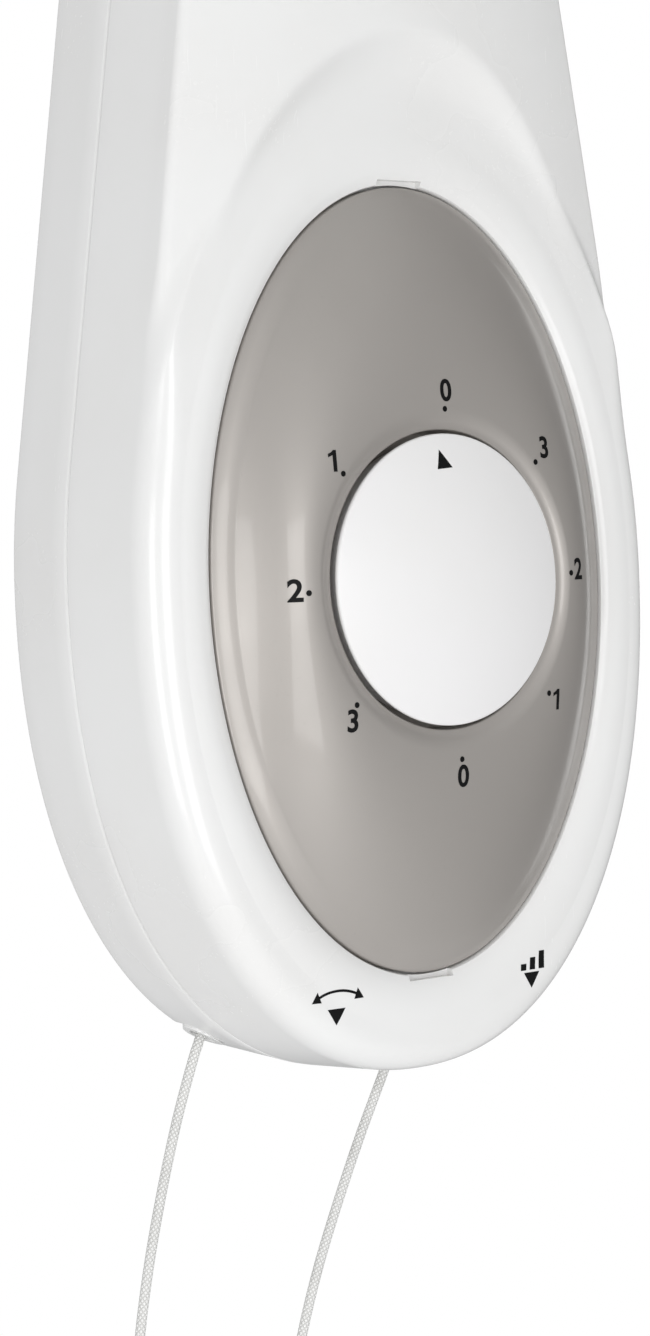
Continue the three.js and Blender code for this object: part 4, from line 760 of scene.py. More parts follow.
# %% Front shell's height
RECESS = 40
BEZEL_INNER = 49.3
BEZEL_FACE = 44.8
CREST = (53.6, 56.4)
POD_EDGE = 63
ARCH = (45.0, 6.4)
NECK_LEAN = (50.5, 80)
LEAN_START = 62
CROWN = 8


def pod_height(radius):
    """Forward height of the bezel at a distance from the dial's axis, measured across."""
    rise = BEZEL_FACE + 1.15 * np.sin(share(radius, BEZEL_INNER, CREST[0]) * np.pi / 2)
    fall = -0.35 * share(radius, *CREST) ** 2 - 0.076 * np.maximum(radius - CREST[1], 0)
    return rise + fall - 0.9 * np.maximum(radius - POD_EDGE, 0) ** 1.5


def neck_height(x, z):
    t = share(z, LEAN_START, NECK_TOP)
    front = NECK_LEAN[0] + NECK_LEAN[1] * t ** 1.8
    return front - (CROWN - 2 * t) * (x / (half_width(z) - DRAFT)) ** 2


def arch_height(radius):
    """A scoop that climbs ever faster away from the bezel, and then leaves the neck as it is."""
    t = np.maximum((radius / POD[0] - 0.935) / 0.145, 0)
    scoop = ARCH[0] + ARCH[1] * np.minimum(t, 1) ** 1.85
    return scoop + np.maximum(radius / POD[0] - 1.08, 0) * 900


def soft_least(a, b, width):
    t = np.clip(0.5 + 0.5 * (b - a) / width, 0, 1)
    return b + (a - b) * t - width * t * (1 - t)


def top_height(x, z, radius):
    """Forward height of the whole front, before its outer edge is rounded."""
    over = soft_least(neck_height(x, np.maximum(z, DIAL_Z)), arch_height(radius), 0.8)
    over = np.where(z > DIAL_Z - 10, over, -50)
    return -soft_least(-pod_height(radius), -over, 1.2)


def edge_radius(z):
    """How far in from the outline the edge starts to round over: broad on the pod, crisp on the neck."""
    t = share(z, DIAL_Z + TAPER_START, 5)
    return 6.6 - 5.1 * (t * t * (3 - 2 * t))


print("the crest of the bezel stands", round(pod_height(CREST[0]), 1), "mm forward of the wall")

# %% Rings of the front shell
REAR_LEAN = 67.7
REAR_EDGE = (0.5, 9.5)
ARCH_ZONE = 13
EDGE_ZONE = 6


def row(x, forward, z):
    """A row of places, with one forward distance or one for each."""
    return np.column_stack([x, np.broadcast_to(forward, x.shape), z])


def fractions(count):
    """Even steps from 0 to 1, without the 0."""
    return np.linspace(0, 1, count)[1:]


def front_rows(places, outs):
    """Rings of points from the dial's recess out over the front and back along the sides."""
    x_out, z_out = places[:, 0], places[:, 1]
    angle = np.arctan2((z_out - DIAL_Z) / STRETCH, x_out)
    ray = np.column_stack([np.cos(angle), np.sin(angle) * STRETCH])
    is_top = z_out > NECK_TOP - 0.01
    edge = np.where(is_top[:, None], places, places - DRAFT * outs)
    reach = np.hypot(edge[:, 0], (edge[:, 1] - DIAL_Z) / STRETCH)
    fillet = edge_radius(z_out)

    def ring(radius, height=None):
        radius = np.broadcast_to(radius, reach.shape)
        x, z = radius * ray[:, 0], DIAL_Z + radius * ray[:, 1]
        if height is None:
            shrink = (POD_EDGE - BEZEL_INNER) / (reach - BEZEL_INNER)
            squeezed = BEZEL_INNER + (radius - BEZEL_INNER) * shrink
            height = top_height(x, z, np.where(z_out < DIAL_Z, squeezed, radius))
            near = np.clip((reach - radius) * (ray * outs).sum(axis=1) / fillet, 0, 1)
            height = height - np.where(is_top, 0, fillet * (1 - np.sqrt(near)) ** 2)
        return row(x, height, z)

    rows = [ring(radius, RECESS) for radius in (4, 30, BEZEL_INNER - 0.4)]
    for inset, height in ((0, RECESS + 0.4), (0, RECESS + 3), (0, BEZEL_FACE - 0.5),
                          (0.15, BEZEL_FACE - 0.12), (0.5, BEZEL_FACE + 0.1)):
        rows.append(ring(BEZEL_INNER + inset, height))
    rows += [ring(radius) for radius in np.linspace(50.4, CREST[1], 9)]
    length = reach - CREST[1]
    arch_end = CREST[1] + np.minimum(ARCH_ZONE, 0.4 * length)
    last = reach - np.minimum(EDGE_ZONE, 0.2 * length)
    rows += [ring(CREST[1] + (arch_end - CREST[1]) * t) for t in fractions(19)]
    rows += [ring(arch_end + (last - arch_end) * t) for t in fractions(17)]
    rows += [ring(reach - (reach - last) * (1 - t) ** 2) for t in fractions(13)]
    rim = rows[-1][:, 1]
    climb = share(z_out, REAR_TOP, NECK_TOP)
    rear = PARTING + REAR_LEAN * climb ** 1.15
    back = REAR_EDGE[0] + (REAR_EDGE[1] - REAR_EDGE[0]) * climb
    for t in fractions(9):
        place = edge + (places - edge) * t
        rows.append(row(place[:, 0], rim + (rear + back - rim) * t, place[:, 1]))
    above = z_out > REAR_TOP
    for t in fractions(6):
        widest = half_width(z_out) - back * t * t
        inner = places - 0.3 * t * t * outs
        x = np.where(above, np.clip(x_out, -widest, widest), inner[:, 0])
        z = np.where(above, z_out, inner[:, 1])
        rows.append(row(x, rear + back * (1 - t) ** 2, z))
    return np.array(rows)


HALF = half_outline(NECK_TOP)
front_skin = front_rows(*whole(HALF))
print("front skin:", front_skin.shape[0], "rings of", front_skin.shape[1], "points")

# %% Front shell
shell = skin("front_shell_skin", front_skin)

# The neck's rear face closes the skin above the rear shell.
corner = len(HALF[0]) - 20
half_row = front_skin[-1][corner:corner + 20, 0] / front_skin[-1][corner, 0]
levels = [k for k in range(corner + 1) if HALF[0][k, 1] >= REAR_TOP]
whole_row = (*half_row, *-half_row[-2::-1])
back_rows = [[(f * x, forward, z) for f in whole_row] for x, forward, z in front_skin[-1][levels]]
neck_back = skin("neck_back", back_rows, closed=False)
shell = edit(together("front_moulding", [shell, neck_back]), weld, face_out)
apply(shell, "SOLIDIFY", thickness=WALL * MM, offset=-1, use_even_offset=False)

# A shallow notch in the bezel's inner edge above the dial plate, and one below it.
for side in (1, -1):
    edge = DIAL_Z + side * BEZEL_INNER * STRETCH
    cut(shell, block("notch", (-5.5, 5.5), (43.3, 50), sorted((edge - side * 1.6, edge + side * 0.8))))
dress(shell, "front_shell")

# %% [markdown]
# The rear shell is a shallow tray. Its side runs on from the front shell's, and a thin tongue along its
# edge slips into the front shell, which hides the joint. It is laid as rings of one outline, each drawn
# in by its own amount, and its openings are cut afterwards: two hook slots, four screw holes, the mains
# grommet's hole, and a notch and window for each cord. The cords' guides are trimmed by the same
# outline, and the soft grommet is spun from its section. A Solidify modifier would give the tray an even
# wall, but not its thin tongue, so its whole section is drawn.

# %% Rear shell
REAR_PROFILE = [
    (3.6, 7.2), (3.45, 7.9), (2.46, 22.0), (2.2, 22.4), (1.6, 22.4), (1.35, 22.1), (1.35, 20.2),
    (0.7, 20.2), (0.5, 20.14), (0.28, 19.98), (0.1, 19.72), (0, 19.35), (0.35, 15), (0.7, 10),
    (1.05, 5.5), (1.3, 2.0), (1.5, 1.2), (1.8, 0.75), (2.3, 0.6), (3.3, 0.6), (3.65, 0.75),
    (3.8, 1.1), (3.6, 4.8),
]
PANEL = (3.8, 8.2)
HOOK_SLOTS = (-16, 16)
SCREWS = [(-47.95, -100), (47.95, -100), (-33.4, 78), (33.4, 78)]
GROMMET_Z = -112
CORD_X = {"swing": -25, "speed": 25}
CORD_FORWARD = 5
GUIDE_SPAN = (-158, -136)

tray_places, tray_outs = whole(half_outline(REAR_TOP, 7, (56, 36, 10)))


def filled_rings(name, profile):
    """The tray's outline drawn in by each inset, at each forward distance, and closed by flat ends."""
    rings = []
    for inset, forward in profile:
        x, z = (tray_places - inset * tray_outs).T
        rings.append(row(x, forward, z))
    return edit(skin(name, rings), fill_ends, face_out)


def drill(radius, x, z, sides):
    return rod("hole", radius, (x, PANEL[0], z), (x, PANEL[1], z), sides)


def along_cord(name, radius, x, sides=40, low=GUIDE_SPAN[0], high=GUIDE_SPAN[1]):
    return rod(name, radius, (x, CORD_FORWARD, low), (x, CORD_FORWARD, high), sides)


tray = filled_rings("rear_tray", REAR_PROFILE)
openings = [block("slot", (x - 7.6, x + 7.6), PANEL, (42, 52.3)) for x in HOOK_SLOTS]
openings += [drill(1.8, x, z, 24) for x, z in SCREWS] + [drill(5.3, 0, GROMMET_Z, 40)]
for x in CORD_X.values():
    openings += [
        along_cord("notch", 4.1, x),
        block("notch", (x - 4.1, x + 4.1), (-0.4, CORD_FORWARD), GUIDE_SPAN),
        block("window", (x - 5.5, x + 5.5), (0.6, 10.5), (-138.3, -119)),
    ]
cut(tray, *openings)
dress(tray, "rear_shell")

# %% Cord guides and grommet
for pull, x in CORD_X.items():
    within = filled_rings("within", [(0.9, 0.6), (0, 20)])
    guide = along_cord(pull + "_guide_tube", 3.8, x, 48)
    join(guide, along_cord("flange", 5.2, x, 48, GUIDE_SPAN[1] - 2))
    combine(guide, "INTERSECT", within)
    cut(guide, along_cord("bore", 2.5, x, 40, GUIDE_SPAN[0] - 1, GUIDE_SPAN[1] + 1))
    dress(guide, pull + "_guide")

GROMMET = [
    (3.4, 3.0, 0.5), (7.5, 3.0, 0.6), (7.5, 4.5, 0.5), (5, 4.5, 0.2), (5, 7.5, 0.2), (7.5, 7.5, 0.3),
    (7.5, 9.1, 0.6), (3.4, 9.1, 0.5),
]
dress(spun("cable_grommet_ring", GROMMET, 64, (0, 0, GROMMET_Z), curve=3), "cable_grommet")

# %% [markdown]
# The dial plate is a separate glossy grey moulding. It starts as an oval at its bevelled rim, swells up
# like a shallow dome and ends as a circle round the dished well that the knob sits in. Rings that turn
# slowly from oval to round give it one clean reflection, as in the photograph. A stretched sphere would
# do for the dome, but it stays oval all the way up.

# %% Dial plate
PLATE_RIM = (48.8, 74.7)
PLATE_BEVEL = 4
RIM_FORWARD = 44.6
LIP = (31, 54.7)
WELL = (28.2, 47)
PLATE_WALL = 2
PLATE_BACK = RECESS + 0.3
SPINDLE_HOLE = 4.5
AROUND = np.linspace(0, 2 * np.pi, 160, endpoint=False)


def oval_ring(width, height, forward):
    return row(width * np.cos(AROUND), forward, DIAL_Z + height * np.sin(AROUND))


def plate_ring(inset, forward):
    return oval_ring(PLATE_RIM[0] - inset, PLATE_RIM[1] - inset, forward)


def dome_ring(t):
    foot = RIM_FORWARD + 1.7
    width, height = (rim - PLATE_BEVEL + (LIP[0] - rim + PLATE_BEVEL) * t for rim in PLATE_RIM)
    return oval_ring(width, height, foot + (LIP[1] - foot) * math.sin(t * math.pi / 2) ** 0.9)


dish = rounded([
    (*LIP, 0), (29.4, 53.9, 1.4), (WELL[0], 53.7, 0.4), (*WELL, 0.8), (SPINDLE_HOLE, WELL[1], 0.3),
    (SPINDLE_HOLE, WELL[1] - PLATE_WALL, 0.3), (LIP[0], WELL[1] - PLATE_WALL, 1),
    (LIP[0] + 1.6, LIP[1] - 3.6, 0),
])
rim_profile = [
    (0, PLATE_BACK), (0, RIM_FORWARD - 0.5), (0.1, RIM_FORWARD - 0.15), (0.4, RIM_FORWARD + 0.1),
    (2, RIM_FORWARD + 0.85),
]
plate_rows = [plate_ring(*point) for point in rim_profile]
plate_rows += [dome_ring(t) for t in np.linspace(0, 1, 30) ** 1.15]
plate_rows += [oval_ring(radius, radius, forward) for radius, forward in dish[1:]]
plate_rows += [plate_ring(PLATE_BEVEL, forward) for forward in (RIM_FORWARD - 0.3, PLATE_BACK)]
dial = skin("dial_plate_dome", plate_rows + plate_rows[:1])
dress(dial, "dial_plate")

# %% [markdown]
# The speed knob is a plain turned form: a crown that is almost flat, a rounded edge, and a stem drawn in
# below it, so that the gap round the knob stays dark. Its profile is drawn once and spun. The pointer is
# a printed triangle that lies on the crown. A bevelled cylinder would come close, but its crown would be
# flat.

# %% Speed knob
KNOB = (27.5, 60)
KNOB_STEM = (25.7, 47.8)
KNOB_CROWN = [(r, KNOB[1] - 5.2 * (r / KNOB[0]) ** 2) for r in (0, 4, 8, 12, 16, 20, 23, 25)]
KNOB_EDGE = [
    (25, 55.7, 0), (KNOB[0], 54.9, 0.7), (KNOB[0], 54.1, 0.2), (KNOB_STEM[0], 53.7, 0.3),
    (KNOB_STEM[0], 52.5, 0),
]
KNOB_FOOT = [(KNOB_STEM[0], 52.5, 0), (*KNOB_STEM, 0.5), (3.3, KNOB_STEM[1], 0.3), (3.3, 54.2, 0)]
knob_profile = KNOB_CROWN + rounded(KNOB_EDGE, 6)[1:] + rounded(KNOB_FOOT, 3)[1:] + [(0, 54.2)]
knob = spun("speed_knob_cap", [(*point, 0) for point in knob_profile], 128, (0, 0, DIAL_Z))
dress(knob, "speed_knob", angle=40)

# %% [markdown]
# The dial's marks are printed in black. Each is a flat shape with a very small thickness, laid onto the
# surface below it with a Shrinkwrap modifier. The digits stand upright, 45 degrees apart, each with a
# dot that the pointer aims at. Over the two arrow marks on the bezel stand plain pictograms: a double
# arrow over the cord that starts the swing, and rising bars over the cord that sets the speed. The marks
# could be painted as a picture, but thin shapes stay crisp at any distance.

# %% Laying print on a surface
PRINT_THICK = 0.04
PRINT_LIFT = 0.02
IN_FRONT = 80
CAPITAL_SHARE = 0.7


def text_shape(body, height, weight):
    """Upright text, whose capitals are `height` tall."""
    bpy.ops.object.text_add(rotation=(math.pi / 2, 0, 0))
    text = bpy.context.object.data
    text.body = body
    text.size = height * MM / CAPITAL_SHARE
    text.align_x = text.align_y = "CENTER"
    text.offset = weight * MM
    bpy.ops.object.convert(target="MESH")
    return settled("print")


def flat_shape(points):
    """A flat outline of (across, up) points, facing forwards."""
    return outline("print", [at(x, 0, z) for x, z in points])


def printed(name, shapes, onto, node):
    """Shapes, each with its place (across, up), joined and laid onto the piece behind them."""
    mark = together(name, [moved(shape, (x, IN_FRONT, z)) for shape, (x, z) in shapes])
    edit(mark, bpy.ops.mesh.quads_convert_to_tris, lambda: bpy.ops.mesh.subdivide(number_cuts=2))
    ways = {"use_project_y": True, "use_positive_direction": True, "use_negative_direction": True}
    wrap = {"wrap_method": "PROJECT", "wrap_mode": "ABOVE_SURFACE", "offset": PRINT_LIFT * MM}
    apply(mark, "SHRINKWRAP", target=onto, **wrap, **ways)
    apply(mark, "SOLIDIFY", thickness=PRINT_THICK * MM, offset=0)
    return dress(mark, node, BLACK_PRINT, stands_for=False)


print("printing ready")

# %% Marks
def dot(radius=0.55):
    turns = np.linspace(0, 2 * np.pi, 20, endpoint=False)
    return flat_shape([(radius * math.cos(a), radius * math.sin(a)) for a in turns])


def down_mark(width=4.2, height=3.1):
    return flat_shape([(-width / 2, height / 2), (width / 2, height / 2), (0, -height / 2)])


def digit_one():
    """A plain stroke with a flag, two fifths as wide as it is tall."""
    return flat_shape([
        (-0.1, -2), (0.72, -2), (0.72, 2), (0.1, 2), (-0.35, 1.6), (-1.05, 1.3), (-1.05, 0.65), (-0.1, 1.05),
    ])


def double_arrow(width=11.0, rise=1.5, line=0.5, head=1.5):
    """A flat arc with an arrow head at each end."""
    radius = (width ** 2 / 4 + rise ** 2) / (2 * rise)
    reach = math.asin(width / 2 / radius)

    def bowed(points):
        return flat_shape([(r * math.sin(a), r * math.cos(a) - radius + rise) for r, a in points])

    turns = np.linspace(-reach * 0.78, reach * 0.78, 18)
    shapes = [bowed([(radius + side * line / 2, a) for side in (1, -1) for a in turns[::-side]])]
    for end in (-reach, reach):
        foot = [(radius + side * head * 0.75, end * 0.76) for side in (1, -1)]
        shapes.append(bowed([*foot, (radius, end * 1.12)]))
    return shapes


def rising_bars(width=1.5, gap=1.0, heights=(1.3, 2.4, 3.5)):
    bars, low = [], -heights[-1] / 2
    for k, height in enumerate(heights):
        left, right = ((k - 1) * (width + gap) + side * width / 2 for side in (-1, 1))
        bars.append(flat_shape([(left, low), (right, low), (right, low + height), (left, low + height)]))
    return bars


print("dot, arrow, digit and pictograms ready")

# %% Digits, pointer and pictograms
DIGITS = [
    ("0", (1.2, 35.4), (0.7, 32.1)), ("3", (26.2, 24.4), (23.5, 21.8)),
    ("2", (34.2, 0.7), (31.8, 0.2)), ("1", (27.0, -24.1), (24.7, -22.8)),
    ("0", (1.8, -37.4), (1.5, -34.0)), ("3", (-24.8, -25.4), (-23.9, -22.3)),
    ("2", (-36.3, -1.0), (-33.9, -1.3)), ("1", (-26.9, 22.7), (-24.9, 20.3)),
]
digit_shapes = []
for digit, (x, up), (dot_x, dot_up) in DIGITS:
    shape = digit_one() if digit == "1" else text_shape(digit, height=4, weight=0.14)
    digit_shapes += [(shape, (x, DIAL_Z + up)), (dot(), (dot_x, DIAL_Z + dot_up))]
printed("dial_digits", digit_shapes, dial, "dial_plate")

pointer = flat_shape([(-3.7, 20.7), (0.0, 21.0), (-2.3, 24.4)])
printed("knob_pointer", [(pointer, (0, DIAL_Z))], knob, "speed_knob")

bezel_shapes = [(shape, (-24.0, DIAL_Z - 77.2)) for shape in double_arrow()]
bezel_shapes += [(shape, (25.7, DIAL_Z - 75.2)) for shape in rising_bars()]
bezel_shapes += [(down_mark(), (-24.3, DIAL_Z - 80.6)), (down_mark(), (25.5, DIAL_Z - 79.0))]
printed("bezel_marks", bezel_shapes, shell, "front_shell")

# %% [markdown]
# Each cord ends in a small moulded bell, drawn as one profile and spun round its own upright axis. Its
# foot is rolled in, and its flat top meets the end of the cord. A bevelled cone could be pushed into
# shape, but a profile rounds each corner by itself.

# %% Bells
BELL = [
    (0, 0, 0), (1.1, 0, 0), (1.6, 0, 0.4), (2.7, 0, 0.7), (3.4, -7, 3), (5.2, -16, 5), (7, -24.5, 1.5),
    (5.5, -26, 0.8), (0, -26, 0),
]
for pull, (cord, line, cord_length) in CORDS.items():
    x, forward, z = line[-1]
    bell = spun(pull + "_bell_cap", BELL, 64, (x, forward, z - 0.3), upright=True)
    dress(bell, pull + "_bell")

# %% [markdown]
# The neck ends in a cast clevis. A flange seats on the neck's open top and carries two ears, and the
# tilt bolt goes through them with the yoke between. The hand knob on its end clamps the tilt. Bevelled
# boxes would miss the round of the ears and the neck's crown, which the flange follows, so flat outlines
# are given their thickness and joined.

# %% Clevis
PIVOT = (109, 172)
EAR_RADIUS = 11
EAR_SPACE = 15
EAR_THICK = 4
EAR_OUTSIDE = EAR_SPACE + EAR_THICK
FLANGE = (150.3, 153.3)
FLANGE_REAR = 88.4
FLANGE_FRONT = 124.1
BORE = 4.3


def arc(middle, radius, start, end, steps=24):
    turns = np.radians(np.linspace(start, end, steps))
    return [(middle[0] + radius * math.cos(a), middle[1] + radius * math.sin(a)) for a in turns]


def on_pivot(name, radius, near, far, sides=40):
    return rod(name, radius, (near, *PIVOT), (far, *PIVOT), sides)


def flange_corners():
    """The neck's opening, a little smaller, with the neck's crown along its front."""
    wide = half_width(NECK_TOP) - 0.4
    front = wide - DRAFT
    crowned = [(x, 130.1 - 6 * (x / front) ** 2, 0) for x in np.linspace(0.93, -0.93, 17) * front]
    return [
        (-wide, FLANGE_REAR, 9.1), (wide, FLANGE_REAR, 9.1), (front, FLANGE_FRONT, 1.3), *crowned,
        (-front, FLANGE_FRONT, 1.3),
    ]


clevis = soften(plate("clevis", rounded(flange_corners(), 8), FLANGE, upright=True), 0.5)
feet = [(PIVOT[0] + side * EAR_RADIUS, 152) for side in (-1, 1)]
ears = []
for near in (-EAR_OUTSIDE, EAR_SPACE):
    ear = plate("ear", [*feet, *arc(PIVOT, EAR_RADIUS, 0, 180)], (near, near + EAR_THICK))
    ears.append(soften(ear, 0.6, angle=60))
join(clevis, *ears, block("stem", (-17.8, 17.8), (91.3, 106), (140, 151)))
cut(clevis, on_pivot("bore", BORE, -30, 30))
dress(clevis, "pivot_bracket", angle=30)

# %% Bolt and clamp knob
BOLT = 4
KNOB_GAP = 0.3
GRIP = (9, 9)
WHEEL = (15, 8, 20)
FLUTE = (5, 17.5)

bolt = on_pivot("tilt_bolt_turned", BOLT, -20.3, 34, 48)
join(bolt, soften(on_pivot("bolt_head", 7, -24.3, -19.3, 6), 0.5))
dress(bolt, "tilt_bolt", angle=30)

start = EAR_OUTSIDE + KNOB_GAP
grip = on_pivot("clamp_grip", GRIP[0], start, start + GRIP[1], 64)
join(grip, soften(on_pivot("wheel", WHEEL[0], start + WHEEL[1], start + WHEEL[2], 96), 1.2, 3))
for forward, up in arc(PIVOT, FLUTE[1], 0, 300, 6):
    flute = (start + WHEEL[1] - 1, forward, up), (start + WHEEL[2] + 1, forward, up)
    cut(grip, rod("flute", FLUTE[0], *flute, 40))
soften(grip, 0.5, 2, 50)
cut(grip, on_pivot("bore", BORE, start - 1, 34.3))
dress(grip, "tilt_knob", angle=40)

# %% [markdown]
# The yoke is one moulding: a lug that tilts between the ears, and the drum with the swing motor in it.
# The turntable on top of the drum swings, with a saddle that is cut to the round of the motor's cover.
# The lug is the same all through, so it is an outline with a thickness, and the drum is round, so it is
# spun. One of these ways alone would not give both.

# %% Yoke and turntable
SWING = 126
DRUM = (194, 222)
DRUM_RADIUS = 30
DRUM_WALL = 2.8
FAN_AXIS = 290
LUG_HALF = 14.7

under = arc(PIVOT, EAR_RADIUS, 180, 324, 30)
front = bend(under[-1], (SWING + 6, DRUM[0] - 14), (SWING + 18, DRUM[0] + 1))
rear = bend((SWING - 22, DRUM[0] + 1), (PIVOT[0] - 12, DRUM[0] - 8), (PIVOT[0] - 11, PIVOT[1]))
lug = soften(plate("lug", under + front[1:] + rear[:-1], (-LUG_HALF, LUG_HALF)), 0.8, 2, 60)
inside = DRUM_RADIUS - DRUM_WALL
DRUM_PROFILE = [
    (0, DRUM[0], 0), (DRUM_RADIUS, DRUM[0], 2.4), (DRUM_RADIUS, DRUM[1], 0.5), (inside, DRUM[1], 0.4),
    (inside, DRUM[0] + DRUM_WALL, 1), (0, DRUM[0] + DRUM_WALL, 0),
]
yoke = join(spun("yoke_moulding", DRUM_PROFILE, 96, (0, SWING, 0), upright=True), lug)
cut(yoke, on_pivot("bore", BORE, -30, 30))
dress(yoke, "tilt_yoke")

DECK = DRUM[1] + 0.3
DECK_TOP = DECK + 4
TURNTABLE = [
    (3.3, 211.4, 0), (7, 211.4, 0.5), (7, DECK, 0), (DRUM_RADIUS, DECK, 0.4), (DRUM_RADIUS, DECK_TOP, 1.2),
    (8, DECK_TOP, 0), (0, DECK_TOP, 0), (0, 219.3, 0), (3.3, 219.3, 0),
]
turntable = spun("turntable", TURNTABLE, 96, (0, SWING, 0), upright=True)
saddle = block("saddle", (-26, 26), (SWING - 20, SWING + 20), (DECK + 2, DECK + 20))
join(turntable, soften(saddle, 3, 4, 60))
cut(turntable, rod("cradle", 57.3, (0, SWING - 30, FAN_AXIS), (0, SWING + 30, FAN_AXIS), 120))
dress(turntable, "head_bracket")

# %% [markdown]
# The motor's covers are turned mouldings. The rear one is a dome with long cooling slots round its
# shoulder, and the front one carries the boss that both the guard and its nut sit on. The slots could be
# left open between the dome's rings, but one softened block, copied and cut, leaves them clean edges.

# %% Motor covers
HEAD = (0, SWING, FAN_AXIS)
SLOT_COUNT = 16
COVER = [
    (57, 22, 0), (57, -24, 14), (54, -41, 9), (44, -53, 9), (22, -60.5, 12), (0, -61, 0),
    (0, -58.6, 0), (21.3, -58.1, 12), (42.3, -51.1, 9), (51.7, -39.8, 9), (54.6, -24, 14), (54.6, 22, 0),
]
FRONT_COVER = [
    (9.5, 27.5, 0), (50, 27.5, 0), (54.6, 22.3, 0), (57, 22.3, 0.3), (57, 26.5, 1.5), (52, 30.7, 2.5),
    (22, 30.7, 0.4), (22, 44, 0.8), (9.5, 44, 0.5),
]


def round_head(count, name, across, forward, up, *softness):
    """Softened blocks round the fan's axis, from the one above it."""
    return copied(moved(soften(block(name, across, forward, up), *softness), HEAD), count, HEAD)


cover = spun("motor_cover_rear", COVER, 128, HEAD, curve=6)
cut(cover, *round_head(SLOT_COUNT, "slot", (-1.6, 1.6), (-70, -40), (20, 40), 1.5, 3, 60))
dress(cover, "motor_rear_cover")
dress(spun("motor_cover_front", FRONT_COVER, 128, HEAD), "motor_front_cover")

# %% [markdown]
# The guards are welded wire, coated white. One wire is bent over its shoulder and turned round the axis
# 108 times, across the rings that hold it. The band clips both rims together, and the badge covers the
# front guard's middle. A Wireframe modifier could make every wire at once, but not round, even ones with
# a bend of their own.

# %% Guards
WIRE_COUNT = 108
WIRE_RADIUS = 0.95
RING_RADIUS = 1.5
SHOULDER = 14
RIM = 214
CENTRE_PLATE = [(22.3, 31, 0.3), (49, 31, 0.8), (49, 33.3, 0.8), (22.3, 33.3, 0.3)]


def wire_ring(radius, forward, thick=RING_RADIUS):
    bpy.ops.mesh.primitive_torus_add(
        major_radius=radius * MM,
        minor_radius=thick * MM,
        major_segments=160,
        minor_segments=8,
        location=at(0, SWING + forward, FAN_AXIS),
        rotation=(math.pi / 2, 0, 0),
    )
    return settled("ring")


def hoop(forward):
    """The flat rim ring of one half of the guard."""
    sides = ((-1, -1), (1, -1), (1, 1), (-1, 1))
    return spun("hoop", [(RIM + 1.15 * u, forward + 1.8 * v, 0.6) for u, v in sides], 160, HEAD, curve=3)


def guard_half(name, stations, ring_radii, *others):
    """Wires through (radius, forward) stations, bent at the middle one, with rings behind the first run."""
    softness = (0, SHOULDER, 0)
    bent = rounded([(*place, radius) for place, radius in zip(stations, softness)], 7)
    wire = swept("wire", np.array([(0, SWING + f, FAN_AXIS + r) for r, f in bent]), WIRE_RADIUS, 6)
    wires = copied(wire, WIRE_COUNT, HEAD)
    (r0, f0), (r1, f1) = stations[:2]
    rings = [wire_ring(r, f0 + (f1 - f0) * (r - r0) / (r1 - r0) - 2.2) for r in ring_radii]
    return together(name, [*wires, *rings, *others])


centre = spun("centre", CENTRE_PLATE, 96, HEAD, curve=3)
rear_guard = guard_half(
    "guard_rear_wires", [(44, 31.8), (168, 48), (213.2, 88.6)], (88, 128),
    wire_ring(166, 46.4), hoop(89.05), centre,
)
dress(rear_guard, "rear_guard")
front_guard = guard_half(
    "guard_front_wires", [(50, 160), (164, 142), (213.2, 93.4)], (88, 126),
    wire_ring(50, 160, 1.7), wire_ring(162, 140.2), hoop(92.95),
)
dress(front_guard, "front_guard")

# %% Band, nut and badge
BAND_SPAN = (82.6, 99.4)
BAND = [
    (213.2, BAND_SPAN[0], 0.3), (217.25, BAND_SPAN[0], 0.8), (218.05, 84.2, 0.8), (218.05, 97.8, 0.8),
    (217.25, BAND_SPAN[1], 0.8), (213.2, BAND_SPAN[1], 0.3), (213.2, 97.6, 0.3), (215.85, 97.6, 0.5),
    (215.85, 84.4, 0.5), (213.2, 84.4, 0.3),
]
LOBE_UP = (FAN_AXIS - 227.05, FAN_AXIS - 216.05)
BAND_SCREW = (SWING + 91, FAN_AXIS - 222.55)
NUT_BACK = 33.9
NUT = [
    (22.3, NUT_BACK, 0.3), (41, NUT_BACK, 0.5), (41, NUT_BACK + 5, 1.2), (38, NUT_BACK + 8, 1.5),
    (22.3, NUT_BACK + 9, 0.4),
]
BADGE = [
    (0, 157, 0), (44, 157, 0.4), (44, 161.45, 0.2), (49, 161.45, 0.4), (49, 162.85, 0.5),
    (44, 164.45, 2), (34, 165.2, 0), (33.4, 164.7, 0.3), (32.6, 164.7, 0.3), (32, 165.3, 0), (0, 165.95, 0),
]

band = spun("guard_clip_band", BAND, 160, HEAD, curve=3)
low, high = (SWING + forward for forward in BAND_SPAN)
for across in ((-6, -2), (2, 6)):
    join(band, soften(block("lobe", across, (low, high), LOBE_UP), 0.8, 2))
cut(band, block("gap", (-2, 2), (low - 1.6, high + 1.6), (LOBE_UP[0] - 2, LOBE_UP[1] + 4)))
cut(band, rod("bore", 2.1, (-8, *BAND_SCREW), (8, *BAND_SCREW), 24))
dress(band, "guard_band")

nut = spun("guard_nut_ring", NUT, 96, HEAD)
cut(nut, *round_head(6, "hollow", (-5, 5), (NUT_BACK + 2.4, NUT_BACK + 11), (37.5, 45), 1.5, 3, 60))
dress(nut, "guard_nut")
dress(spun("guard_badge_cap", BADGE, 128, HEAD), "guard_badge")

# %% [markdown]
# The fan is one moulding too: a hollow hub and three broad, swept blades. A blade is laid as rings round
# its section, from the root to the tip. Its width, lag and pitch all follow the radius, and its rounded
# edge is thinner than its middle. A flat outline could be twisted by a Simple Deform modifier, but then
# its width and pitch could not change apart from each other.

